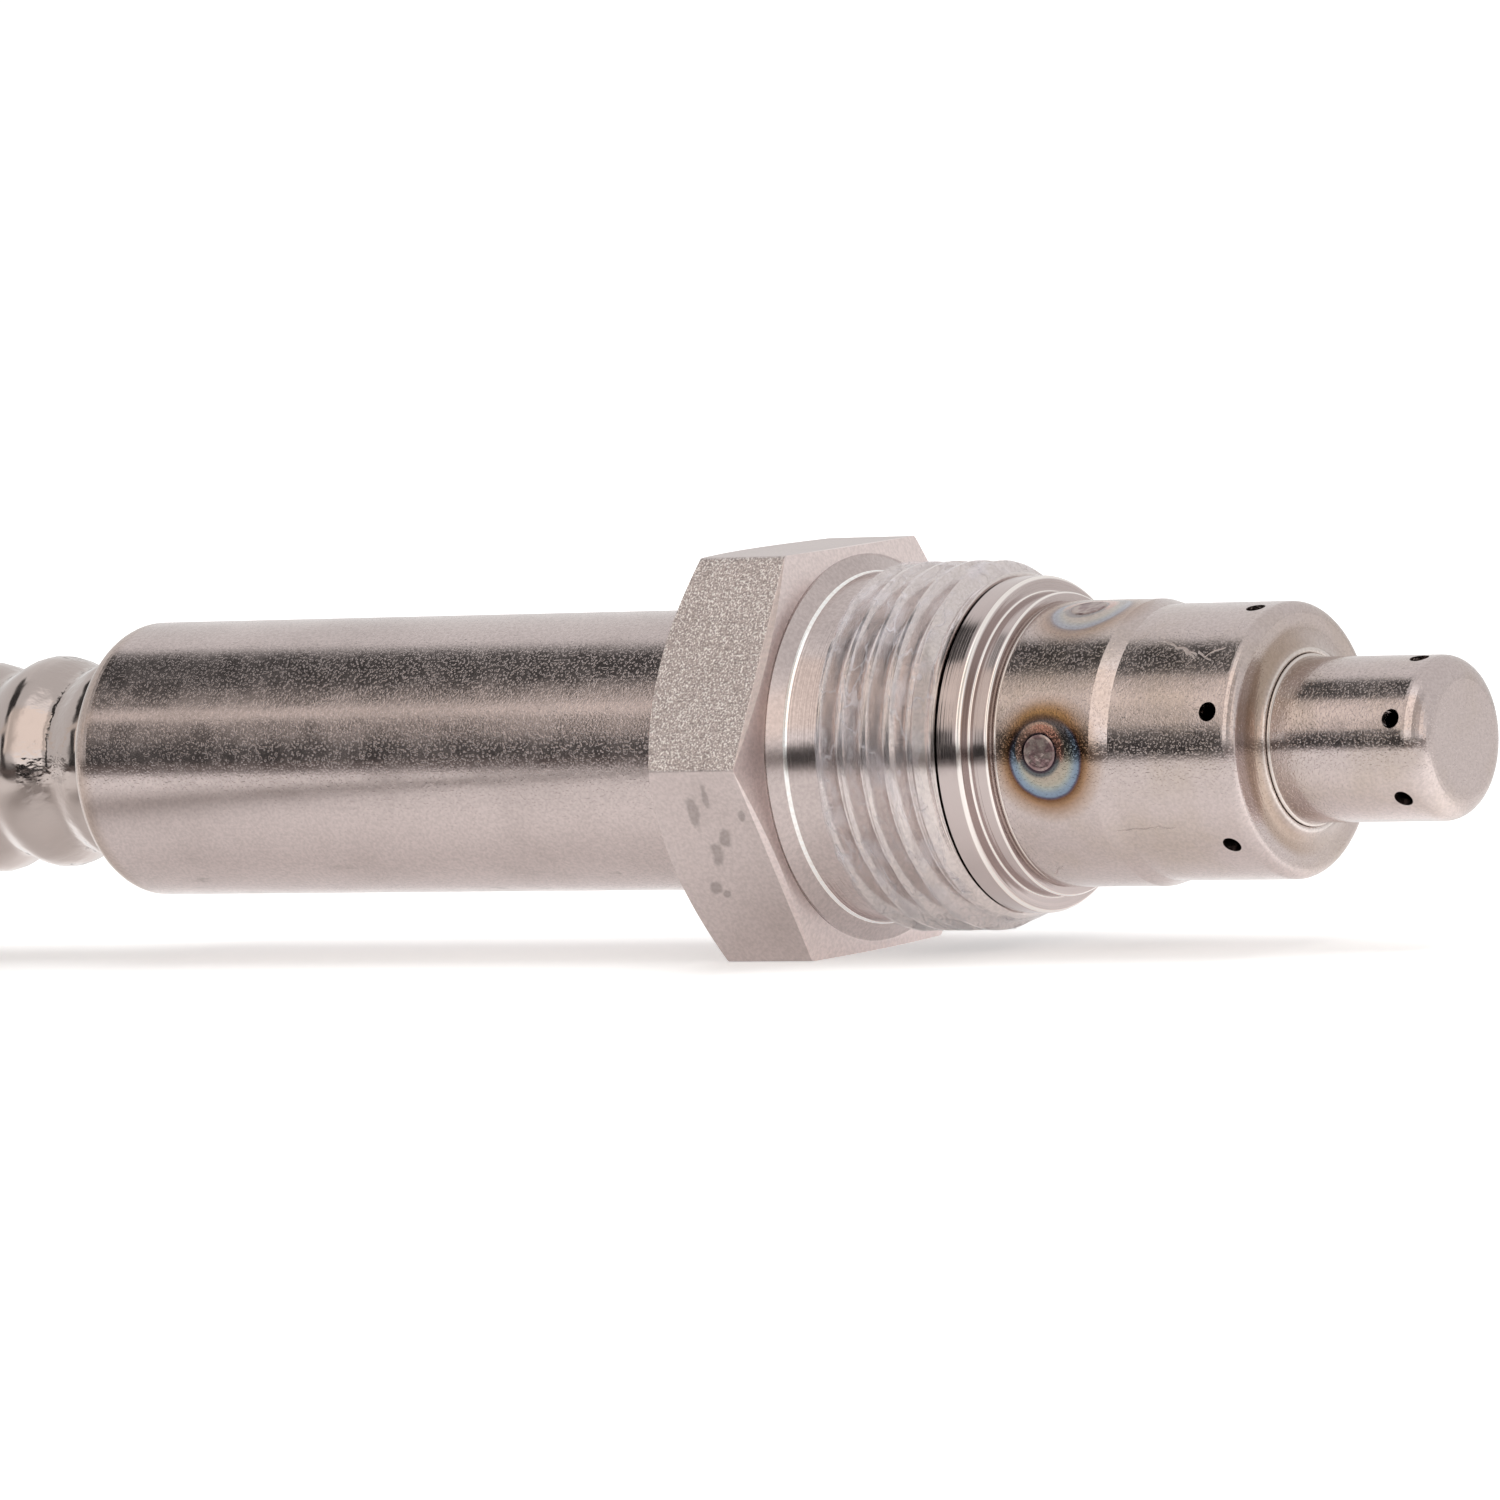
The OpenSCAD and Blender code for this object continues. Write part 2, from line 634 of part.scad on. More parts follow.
module unit_housing() color([0.10, 0.10, 0.11]) difference() {
    union() {
        difference() {
            housing_shape(0, rim_z, unit_top_z, corner_r);
            housing_shape(unit_wall, rim_z - over, unit_top_z - unit_wall, inner_corner_r);
        }
        at_corners(screw_inset) translate([0, 0, rim_z])
            cylinder(d = pillar_d, h = unit_top_z - rim_z - over);
        for (side = [-1, 1]) mounting_ear(side);
        at_gland() disc(-boss_len, over, gland_d);
        for (x = ribs)
            translate([unit_x + unit_l * x, unit_back_y - unit_w + rib_margin, unit_top_z - over])
                cube([rib_w, unit_w - 2 * rib_margin, rib_h + over]);
        translate([unit_x - socket_len, socket_y, socket_z]) rotate([0, 90, 0]) socket_body();
    }
    at_gland() disc(-boss_len - over, unit_wall + over, conduit_d + 2 * slot_gap);
    at_ears() translate([0, 0, -over]) cylinder(d = ear_hole_d + 2 * bush_wall, h = ear_h + 2 * over);
    at_corners(screw_inset) translate([0, 0, rim_z - over])
        cylinder(d = screw_d - screw_gap, h = screw_depth + 3 * over, $fn = small_facets);
    translate([unit_x - socket_len - over, socket_y, socket_z]) rotate([0, 90, 0])
        linear_extrude(socket_len + over - socket_floor)
            socket_outline(socket_w - 2 * socket_wall, socket_h - 2 * socket_wall, socket_inner_r);
    at_pins() translate([-socket_len, -pin_s / 2 - fit_gap, -pin_s / 2 - fit_gap])
        cube([socket_len + unit_wall + over, pin_s + 2 * fit_gap, pin_s + 2 * fit_gap]);
}

// One ear that carries a bush, with its root in the housing's side
module mounting_ear(side) {
    root = (ear_spacing - unit_w) / 2 + ear_root;
    translate([ear_x, unit_c[1] + side * ear_spacing / 2, floor_z]) {
        cylinder(d = ear_d, h = ear_h);
        translate([-ear_d / 2, side > 0 ? -root : 0, 0]) cube([ear_d, root, ear_h]);
    }
}

module socket_outline(w, h, r) {
    translate([-h / 2, -w / 2]) plate_outline(h, w, r);
}

module socket_body() {
    linear_extrude(socket_len + over) socket_outline(socket_w, socket_h, socket_r);
    translate([-socket_h / 2 - latch[2], -latch[1] / 2, latch_back]) cube([latch[2] + over, latch[1], latch[0]]);
}

module at_pins() {
    for (k = [0 : pins - 1])
        translate([unit_x, socket_y + (k - (pins - 1) / 2) * pin_pitch, socket_z]) children();
}

module connector_pins() color([0.82, 0.74, 0.50]) at_pins() {
    bottom = board_z + board_t - socket_z;
    translate([pin_back - socket_len, -pin_s / 2, -pin_s / 2])
        cube([socket_len - pin_back + pin_bend, pin_s, pin_s]);
    translate([pin_bend - pin_s, -pin_s / 2, bottom]) cube([pin_s, pin_s, pin_s / 2 - bottom]);
}

// Notches that clear the ears and their roots
module ear_notches(z0, h) {
    w = ear_d + 2 * slot_gap;
    for (side = [-1, 1]) {
        translate([ear_x - w / 2, unit_c[1] + side * unit_w / 2 - ear_notch / 2, z0])
            cube([w, ear_notch, h]);
        translate([ear_x, unit_c[1] + side * ear_spacing / 2, z0]) cylinder(d = w, h = h);
    }
}

module base_plate() color([0.75, 0.76, 0.77]) difference() {
    union() {
        housing_shape(0, floor_z, floor_z + plate_t, corner_r);
        at_corners(post_inset) translate([0, 0, floor_z]) cylinder(d = post_d, h = plate_t + post_h);
    }
    at_corners(screw_inset) translate([0, 0, floor_z - over])
        cylinder(d = screw_d + 2 * screw_gap, h = plate_t + 2 * over);
    at_corners(screw_inset) translate([0, 0, floor_z - over])
        cylinder(d1 = screw_head_d + 2 * over, d2 = screw_d, h = screw_cone + over);
    ear_notches(floor_z - over, plate_t + 2 * over);
}

module base_gasket() color([0.20, 0.20, 0.22]) difference() {
    housing_shape(fit_gap, floor_z + plate_t, rim_z, corner_r);
    housing_shape(unit_wall, floor_z, rim_z + over, inner_corner_r);
    ear_notches(floor_z, plate_t + gasket_t + over);
}

module base_screws() color([0.55, 0.55, 0.56])
    at_corners(screw_inset) translate([0, 0, floor_z + head_sink]) {
        cylinder(d1 = screw_head_d - 2 * head_gap, d2 = screw_d - 2 * screw_gap, h = screw_cone);
        cylinder(d = screw_d - 2 * screw_gap, h = plate_t + gasket_t + screw_depth, $fn = small_facets);
    }

module ear_bushes() color([0.70, 0.70, 0.70]) at_ears() difference() {
    cylinder(d = ear_hole_d + 2 * bush_wall - 2 * fit_gap, h = ear_h);
    translate([0, 0, -over]) cylinder(d = ear_hole_d, h = ear_h + 2 * over);
}

module circuit_board() color([0.12, 0.36, 0.20]) difference() {
    housing_shape(unit_wall + board_margin, board_z, board_z + board_t, inner_corner_r);
    at_corners(screw_inset) translate([0, 0, board_z - over])
        cylinder(d = pillar_d + 2 * pillar_gap, h = board_t + 2 * over);
}

module board_components() color([0.20, 0.20, 0.22])
    translate([unit_c[0], unit_c[1], board_z + board_t]) {
        for (c = chips) translate([c[0], c[1], 0]) cube([c[2], c[3], c[4]]);
        translate(capacitor_at) cylinder(d = capacitor_d, h = capacitor_h);
    }

union_nut();
shell();
outer_tube();
inner_tube();
sensing_element();
front_ceramic();
talc_ring();
rear_ceramic();
packing_ring();
contact_block_front();
contact_block_rear();
terminal_clips();
retaining_spring();
lead_wires();
seal_plug();
rear_sleeve();
conduit();
gland_nut();
gland_seal();
unit_housing();
base_plate();
base_gasket();
base_screws();
ear_bushes();
circuit_board();
board_components();
connector_pins();
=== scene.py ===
"""Exhaust nitrogen oxide sensor: probe with a loose union nut, metal conduit and control unit.

The probe lies along X, with its tip towards +X and the photograph's side towards -Y.
"""
import math

import bmesh
import bpy
from mathutils import Matrix, Vector, noise


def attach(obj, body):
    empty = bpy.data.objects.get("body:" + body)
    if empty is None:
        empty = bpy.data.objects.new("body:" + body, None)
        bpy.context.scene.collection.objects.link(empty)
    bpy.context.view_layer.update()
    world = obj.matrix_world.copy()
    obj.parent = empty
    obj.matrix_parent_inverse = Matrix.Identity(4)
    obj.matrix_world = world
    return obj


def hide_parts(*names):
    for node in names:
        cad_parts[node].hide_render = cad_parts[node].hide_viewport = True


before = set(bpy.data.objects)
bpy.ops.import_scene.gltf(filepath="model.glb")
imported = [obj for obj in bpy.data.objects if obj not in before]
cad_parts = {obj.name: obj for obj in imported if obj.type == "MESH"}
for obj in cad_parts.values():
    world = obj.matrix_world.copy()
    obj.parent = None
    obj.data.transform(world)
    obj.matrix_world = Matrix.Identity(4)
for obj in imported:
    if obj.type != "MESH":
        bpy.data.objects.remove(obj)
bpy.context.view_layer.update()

MM = 0.001
MERGE = 1e-6
FINE_MERGE = 0.2e-6

# Steps round the turned pieces
TURNED_STEPS = 180
BORE_STEPS = 160
FILM_STEPS = 160
BEAD_STEPS = 150
THREAD_STEPS = 120
NUGGET_STEPS = 48
CONDUIT_STEPS = 36

# Camera, fitted to the photograph
LENS = 305.96
SENSOR_WIDTH = 36
CLIP = (0.05, 100)
CAMERA_AT = Vector((379.66, -573.52, 52.48)) * MM
CAMERA_RIGHT = Vector((0.825461, 0.560394, -0.067618))
CAMERA_FORWARD = Vector((-0.5643, 0.822128, -0.07531))

# Floor
FLOOR_Z = -11 * MM
FLOOR_DROP = 0.02 * MM
FLOOR_SIZE = 20

# Union nut
HEX_AF = 22 * MM
HEX_CORNER_R = HEX_AF / 2 / math.cos(math.pi / 6)
HEX_EDGE = 0.13 * MM
HEX_FRONT_X = -6.5 * MM
HEX_BACK_X = -12.0 * MM
NUT_BACK_X = -13.2 * MM
NECK_X = -5.4 * MM
STEP_X = -5.9 * MM
STEP_R = 10.6 * MM
NECK_R = 9.3 * MM
NECK_SINK = 0.07 * MM
NUT_BORE_R = 7.79 * MM
THREAD_R = 10.0 * MM
THREAD_DEPTH = 0.92 * MM
THREAD_FLANK = THREAD_DEPTH * math.tan(math.radians(30))
THREAD_PITCH = 1.5 * MM
THREAD_CREST = THREAD_PITCH / 8
THREAD_X = (-3.0 * MM, 2.7 * MM)
THREAD_TURNS = 8
RUN_OUT_SLOPE = 2.2
LEAD_X = 4.1 * MM
LEAD_R = 9.2 * MM

# Clear film that covers the thread
FILM_X = (-3.3 * MM, 3.9 * MM)
FILM_ROWS = 40
FILM_GAP = 0.06 * MM
FILM_SAG = 0.22 * MM
FILM_WRINKLE = 0.10 * MM
FILM_WRINKLE_SIZE = 1.3 * MM
FILM_WALL = 0.02 * MM

# Outer tube and its spot welds, at angles in degrees from the front upwards
TUBE_R = 7.71 * MM
WELD_X = 9.87 * MM
WELD_ANGLES = (1.8, 76.0, 181.8, 256.0)
NUGGET_R = 1.0 * MM

# Conduit
CONDUIT_R = 6.0 * MM
CONDUIT_VALLEY_R = 5.15 * MM
CONDUIT_WALL = 0.5 * MM
RIDGE_PITCH = 5.0 * MM
RIDGE_ROWS = 10
RIDGE_SHARPNESS = 0.7
FIRST_CREST = 4.0 * MM

# Conduit route in millimetres: straight out of the sleeve, one and a half turns, and into the
# unit. The coil climbs onto its first turn, settles there, rolls off it outwards and lifts to the
# gland. The spans of these moves are angles in degrees.
LAY_OUT = [
    (-52, 0, 0), (-56, 0, 0), (-62, 0, -0.1), (-69, 0, -0.6),
    (-77, 0, -1.8), (-85, 0, -3.2), (-93, 0, -4.3), (-100, 0, -4.9),
]
LAY_IN = [(-98, -132.5, 0.4), (-90, -132.5, 0.9), (-82, -132.5, 1.0), (-69, -132.5, 1.0)]
SPAN_STEPS = 8
COIL_CENTRE = (-107, -60)
COIL_R = 60
COIL_ANGLES = range(90, 631, 15)
LAYER = 12.5
LOW_Z = -5.0
GLAND_Z = 1.0
CLIMB = 13.8
CLIMB_SPAN = (365, 430)
SETTLE = 1.3
SETTLE_SPAN = (430, 460)
ROLL_SPAN = (470, 620)
LIFT_SPAN = (590, 650)

# Colours of the bright steel, of the marks on it, and of the highlights and shade painted on it
STEEL = (0.565, 0.488, 0.474)
STEEL_DARK = (0.44, 0.375, 0.36)
PAINTED_HIGHLIGHT = (1.0, 0.95, 0.91)
SLEEVE_STAIN = (0.30, 0.25, 0.235)
SLEEVE_END = (0.36, 0.27, 0.21)
TUBE_STAIN = (0.50, 0.42, 0.36)
TUBE_COVE_SHADE = (0.33, 0.235, 0.165)
NUT_CHAMFER_HIGHLIGHT = (0.80, 0.695, 0.675)
NUT_SMUDGE = (0.27, 0.235, 0.225)
NUT_ROOT_HIGHLIGHT = (1.0, 0.97, 0.95)
NUT_GLINT = (1.0, 0.96, 0.93)
NUT_PIT_SHADE = (0.27, 0.235, 0.22)

# Floor as the eye sees it, and the painted dark colour that the metal mirrors away from the object
FLOOR_PALE = (0.80, 0.80, 0.80)
FLOOR_PAINTED_REFLECTION = (0.15, 0.13, 0.125)

# Heat colours out from a spot weld: radius in millimetres, colour
HEAT_REACH = 4
HEAT_STOPS = [
    (0.95, (0.40, 0.34, 0.28)), (1.28, (0.40, 0.37, 0.31)), (1.46, (0.33, 0.36, 0.35)),
    (1.66, (0.24, 0.30, 0.37)), (1.84, (0.20, 0.26, 0.35)), (1.93, (0.10, 0.085, 0.12)),
    (2.04, (0.17, 0.085, 0.045)), (2.28, (0.33, 0.20, 0.12)), (2.80, (0.48, 0.38, 0.33)),
    (3.40, STEEL),
]
HEAT_HALO = (0.36, 0.21, 0.09)
# Painted shadow above a nugget, then pale and pink heat colours
WELD_SHADOW = (0.10, 0.065, 0.05)
HEAT_PALE = (0.46, 0.32, 0.26)
HEAT_PINK = (0.56, 0.29, 0.22)
# Painted shade below a nugget, then its dark outline
NUGGET_SHADE = (0.12, 0.125, 0.13)
NUGGET_OUTLINE = (0.05, 0.035, 0.045)

# Smudges on the smooth flats: place along X in millimetres, angle, length in degrees, width
SMUDGES = [
    (-10.15, 168.5, 10.0, 0.75), (-9.0, 173.2, 6.5, 0.4), (-9.7, 154.5, 9.0, 0.85),
    (-8.85, 159.5, 6.0, 0.8), (-7.15, 166.8, 4.0, 0.45), (-10.8, 142.8, 4.0, 0.9),
    (-10.2, 140.5, 3.0, 0.5),
]
# Scratches on the outer tube: start and end along X in millimetres, angle at the start, slope
SCRATCHES = [
    (14.5, 15.0, 52.0, 8.0), (16.3, 18.6, 51.5, -3.6), (17.4, 18.7, 47.5, -2.5),
    (18.8, 19.7, 45.0, -5.0), (19.3, 20.3, 43.0, 5.0), (13.6, 17.2, -33.5, 0.3),
    (8.3, 8.9, -52.0, -9.0), (7.9, 8.9, -58.5, 5.0),
]

# X of the directions that are mirrored by the sides of the sleeve and of the outer tube
SLEEVE_VIEW = -0.60
TUBE_VIEW = -0.54
# Light of the studio, and of its strip
WHITE_LIGHT = (1, 0.99, 0.98)
WARM_LIGHT = (1.0, 0.92, 0.85)

# Lamp
LAMP_AT = Vector((-0.02, 0.1, 0.7))
LAMP_AIM = Vector((-0.02, -0.03, 0))
LAMP_SIZE = (0.6, 0.6)
LAMP_WATTS = 3.0


def new_object(name, bm):
    """A new object at the origin that holds the bmesh."""
    mesh = bpy.data.meshes.new(name)
    bm.to_mesh(mesh)
    bm.free()
    piece = bpy.data.objects.new(name, mesh)
    bpy.context.collection.objects.link(piece)
    return piece


def smooth_by_angle(piece, degrees):
    """Smooth shading with sharp edges above an angle."""
    for face in piece.data.polygons:
        face.use_smooth = True
    piece.data.set_sharp_from_angle(angle=math.radians(degrees))


def dress(piece, material, body, slot, *nodes):
    """Gives a new piece its material and its body, and hides the CAD nodes that it stands for. The
    slot is not used.
    """
    piece.data.materials.clear()
    piece.data.materials.append(material)
    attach(piece, body)
    if nodes:
        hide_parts(*nodes)


def everything(bm):
    """All the vertices, edges and faces of a bmesh."""
    return bm.verts[:] + bm.edges[:] + bm.faces[:]


def spun(outline, steps, shift=0.0):
    """A bmesh of (x, radius) points turned about the X axis, with an axial shift over the turn."""
    bm = bmesh.new()
    points = [bm.verts.new((x, 0, r)) for x, r in outline]
    lines = [bm.edges.new(pair) for pair in zip(points, points[1:])]
    bmesh.ops.spin(
        bm, geom=points + lines, cent=(0, 0, 0), axis=(1, 0, 0),
        dvec=(shift / steps, 0, 0), angle=math.tau, steps=steps, use_merge=shift == 0,
    )
    return bm


def closed_turning(outline, steps):
    """A closed solid of revolution. Its outline starts and ends on the axis, or is a loop."""
    bm = spun(outline, steps)
    bmesh.ops.remove_doubles(bm, verts=bm.verts, dist=FINE_MERGE)
    bmesh.ops.recalc_face_normals(bm, faces=bm.faces)
    return bm


def face_outwards(bm):
    """Turns all the faces of a closed form outwards."""
    bmesh.ops.recalc_face_normals(bm, faces=bm.faces)
    if bm.calc_volume(signed=True) < 0:
        bmesh.ops.reverse_faces(bm, faces=bm.faces)


def set_radius(v, radius):
    """Moves a vertex straight out from the X axis, or in, to a radius."""
    share = radius / math.hypot(v.co.y, v.co.z)
    v.co.y *= share
    v.co.z *= share


def arc(centre, radius, start, end, steps):
    """Points of an arc in the X and radius plane, angles from +X towards larger radius."""
    points = []
    for i in range(steps + 1):
        angle = math.radians(start + (end - start) * i / steps)
        across = centre[0] + radius * math.cos(angle)
        points.append((across, centre[1] + radius * math.sin(angle)))
    return points


def combine(base, other, operation):
    """Runs an exact boolean on base with other, and removes other."""
    modifier = base.modifiers.new("combine", "BOOLEAN")
    modifier.operation = operation
    modifier.solver = "EXACT"
    modifier.object = other
    graph = bpy.context.evaluated_depsgraph_get()
    mesh = bpy.data.meshes.new_from_object(base.evaluated_get(graph))
    base.modifiers.clear()
    base.data = mesh
    bpy.data.objects.remove(other)


def weld_doubles(piece):
    """Merges points that a boolean left on top of each other, and closes what that opens."""
    bm = bmesh.new()
    bm.from_mesh(piece.data)
    bmesh.ops.remove_doubles(bm, verts=bm.verts, dist=4 * MERGE)
    bmesh.ops.dissolve_degenerate(bm, edges=bm.edges, dist=MERGE)
    wires = [e for e in bm.edges if e.is_wire]
    bmesh.ops.delete(bm, geom=wires, context="EDGES")
    rims = [e for e in bm.edges if e.is_boundary]
    bmesh.ops.holes_fill(bm, edges=rims, sides=0)
    face_outwards(bm)
    bm.to_mesh(piece.data)
    bm.free()


def camera():
    """The photograph's camera."""
    up = CAMERA_RIGHT.cross(CAMERA_FORWARD).normalized()
    turn = Matrix((CAMERA_RIGHT, up, -CAMERA_FORWARD)).transposed().to_4x4()
    data = bpy.data.cameras.new("camera")
    data.lens = LENS
    data.sensor_width = SENSOR_WIDTH
    data.clip_start, data.clip_end = CLIP
    eye = bpy.data.objects.new("camera", data)
    eye.matrix_world = Matrix.Translation(CAMERA_AT) @ turn
    bpy.context.collection.objects.link(eye)
    bpy.context.scene.camera = eye


def ease(t, span):
    """Share of a span that t has passed, with soft ends."""
    s = min(max((t - span[0]) / (span[1] - span[0]), 0.0), 1.0)
    return s * s * (3 - 2 * s)


def coil_point(t):
    """A point of the coil at an angle in degrees, in millimetres."""
    roll = math.radians(90 * ease(t, ROLL_SPAN))
    if t < SETTLE_SPAN[0]:
        z = LOW_Z + CLIMB * ease(t, CLIMB_SPAN)
    elif t < ROLL_SPAN[0]:
        z = LOW_Z + CLIMB - SETTLE * ease(t, SETTLE_SPAN)
    else:
        z = LOW_Z + LAYER * math.cos(roll) + (GLAND_Z - LOW_Z) * ease(t, LIFT_SPAN)
    r = COIL_R + LAYER * math.sin(roll)
    angle = math.radians(t)
    return (COIL_CENTRE[0] + r * math.cos(angle), COIL_CENTRE[1] + r * math.sin(angle), z)


def smooth_route(points):
    """A smooth curve through the points."""
    ends = [points[0] * 2 - points[1]] + points + [points[-1] * 2 - points[-2]]
    curve = []
    for i in range(len(points) - 1):
        a, b, c, d = ends[i:i + 4]
        for k in range(SPAN_STEPS):
            s = k / SPAN_STEPS
            square = 2 * b + (c - a) * s + (2 * a - 5 * b + 4 * c - d) * s ** 2
            curve.append(0.5 * (square + (3 * b - a - 3 * c + d) * s ** 3))
    curve.append(points[-1])
    return curve


def route_lengths(curve):
    """Length along the curve up to each of its points."""
    total = [0.0]
    for a, b in zip(curve, curve[1:]):
        total.append(total[-1] + (b - a).length)
    return total


def ridge_outline(length):
    """The corrugated wall as (x, radius), with round crests and tighter valleys."""
    count = round(length / RIDGE_PITCH * RIDGE_ROWS)
    outline = []
    for i in range(count + 1):
        x = length * i / count
        phase = math.tau * (x - FIRST_CREST) / RIDGE_PITCH
        height = (0.5 + 0.5 * math.cos(phase)) ** RIDGE_SHARPNESS
        outline.append((x, CONDUIT_VALLEY_R + (CONDUIT_R - CONDUIT_VALLEY_R) * height))
    return outline


def bend_along(bm, curve, at):
    """Bends a straight tube on the X axis along a curve whose points lie at the lengths in at."""
    frames = []
    for i, p in enumerate(curve):
        ahead = (curve[min(i + 1, len(curve) - 1)] - curve[max(i - 1, 0)]).normalized()
        side = ahead.cross(Vector((0, 0, 1))).normalized()
        frames.append((p, side, side.cross(ahead)))
    step = 0
    for v in sorted(bm.verts, key=lambda v: v.co.x):
        s = min(v.co.x, at[-1])
        while step < len(at) - 2 and at[step + 1] < s:
            step += 1
        share = (s - at[step]) / (at[step + 1] - at[step])
        p, side, up = (a.lerp(b, share) for a, b in zip(frames[step], frames[step + 1]))
        v.co = p + side.normalized() * v.co.y + up.normalized() * v.co.z


def conduit(material):
    """Straight corrugated tube, spun and then bent along its route."""
    coil = [coil_point(t) for t in COIL_ANGLES]
    curve = smooth_route([Vector(p) * MM for p in LAY_OUT + coil + LAY_IN])
    at = route_lengths(curve)
    length = at[-1]
    bm = spun(ridge_outline(length), CONDUIT_STEPS)
    bmesh.ops.remove_doubles(bm, verts=bm.verts, dist=MERGE)
    bend_along(bm, curve, at)
    bmesh.ops.recalc_face_normals(bm, faces=bm.faces)
    piece = new_object("conduit_tube", bm)
    smooth_by_angle(piece, 60)
    wall = piece.modifiers.new("wall", "SOLIDIFY")
    wall.thickness = CONDUIT_WALL
    wall.offset = -1
    piece.visible_glossy = False
    dress(piece, material, "sensor", "conduit_steel", "conduit")


def hex_head():
    """The hexagon with its turned chamfers."""
    bm = bmesh.new()
    bmesh.ops.create_circle(bm, cap_ends=True, segments=6, radius=HEX_CORNER_R)
    quarter = Matrix.Rotation(math.pi / 2, 3, "Y")
    bmesh.ops.rotate(bm, verts=bm.verts, cent=(0, 0, 0), matrix=quarter)
    bmesh.ops.translate(bm, verts=bm.verts, vec=(NUT_BACK_X - MM, 0, 0))
    end = bmesh.ops.extrude_face_region(bm, geom=bm.faces[:])
    moved = [v for v in end["geom"] if isinstance(v, bmesh.types.BMVert)]
    bmesh.ops.translate(bm, verts=moved, vec=(NECK_X - NUT_BACK_X + 2 * MM, 0, 0))
    edges = [e for e in bm.edges if abs(e.verts[0].co.x - e.verts[1].co.x) > MM]
    bmesh.ops.bevel(
        bm, geom=edges, offset=HEX_EDGE, offset_type="OFFSET", affect="EDGES", segments=3,
        profile=0.5, material=-1, clamp_overlap=True,
    )
    bmesh.ops.recalc_face_normals(bm, faces=bm.faces)
    prism = new_object("prism", bm)
    turned_form = new_object("turned_form", closed_turning([
        (NUT_BACK_X, 0), (NUT_BACK_X, STEP_R), (HEX_BACK_X, HEX_CORNER_R),
        (HEX_FRONT_X, HEX_CORNER_R), (STEP_X, STEP_R), (STEP_X, 0),
    ], TURNED_STEPS))
    combine(prism, turned_form, "INTERSECT")
    return prism


def limit_radius(x):
    """Radius that the thread and its lead stay within."""
    if x > THREAD_X[1]:
        return THREAD_R - (x - THREAD_X[1]) / (LEAD_X - THREAD_X[1]) * (THREAD_R - LEAD_R)
    if x < THREAD_X[0]:
        return THREAD_R - (THREAD_X[0] - x) * RUN_OUT_SLOPE
    return THREAD_R


def cut_beyond(bm, x, side):
    """Cuts off what lies beyond x, towards +X or -X, and leaves it open."""
    bmesh.ops.bisect_plane(
        bm, geom=everything(bm), plane_co=(x, 0, 0), plane_no=(side, 0, 0), clear_outer=True,
    )


def thread():
    """Helical thread and lead in one closed solid."""
    # One ridge: x, and height as a share of the depth, with the roots rounded a little
    rise = [(0, 0), (THREAD_FLANK * 0.12, 0.04), (THREAD_FLANK * 0.3, 0.3)]
    width = 2 * THREAD_FLANK + THREAD_CREST
    ridge = rise + [(THREAD_FLANK, 1), (THREAD_FLANK + THREAD_CREST, 1)]
    ridge += [(width - x, height) for x, height in reversed(rise)]
    start = THREAD_X[0] - THREAD_PITCH * 1.5
    outline = [
        (start + THREAD_PITCH * k + x, THREAD_R - THREAD_DEPTH * (1 - height))
        for k in range(THREAD_TURNS) for x, height in ridge
    ]
    bm = spun(outline, THREAD_STEPS, THREAD_PITCH)
    bmesh.ops.remove_doubles(bm, verts=bm.verts, dist=MERGE)
    cut_beyond(bm, THREAD_X[0] - 0.35 * MM, -1)
    cut_beyond(bm, LEAD_X, 1)
    for v in bm.verts:
        set_radius(v, min(math.hypot(v.co.y, v.co.z), limit_radius(v.co.x)))
    rims = [e for e in bm.edges if e.is_boundary]
    bmesh.ops.holes_fill(bm, edges=rims, sides=0)
    bmesh.ops.recalc_face_normals(bm, faces=bm.faces)
    return new_object("thread", bm)


def union_nut(material):
    """The whole nut: hexagon, neck and true helical thread."""
    nut = hex_head()
    fillet = arc((0.884 * MM, 9.895 * MM), 0.4 * MM, 216, 261, 8)
    neck = new_object("neck", closed_turning([
        (NUT_BACK_X + MM, 0), (NUT_BACK_X + MM, NECK_R), (STEP_X - 0.1 * MM, STEP_R - 0.1 * MM),
        (STEP_X, STEP_R - 0.1 * MM), (STEP_X + 0.02 * MM, STEP_R - 0.2 * MM),
        (STEP_X + 0.31 * MM, STEP_R - 0.6 * MM),
    ] + [(STEP_X + x, r) for x, r in fillet] + [
        (THREAD_X[0] - 0.3 * MM, NECK_R - NECK_SINK), (THREAD_X[0], NECK_R - NECK_SINK),
        (THREAD_X[0], 0),
    ], TURNED_STEPS))
    combine(nut, neck, "UNION")
    combine(nut, thread(), "UNION")
    bore = new_object("bore", closed_turning([
        (NUT_BACK_X - 2 * MM, 0), (NUT_BACK_X - 2 * MM, NUT_BORE_R + 2.4 * MM),
        (NUT_BACK_X + 0.4 * MM, NUT_BORE_R), (LEAD_X - 0.3 * MM, NUT_BORE_R),
        (LEAD_X + 2 * MM, NUT_BORE_R + 2.3 * MM), (LEAD_X + 2 * MM, 0),
    ], BORE_STEPS))
    combine(nut, bore, "DIFFERENCE")
    weld_doubles(nut)
    nut.name = "threaded_nut"
    smooth_by_angle(nut, 24)
    dress(nut, material, "nut", "turned_steel", "union_nut")


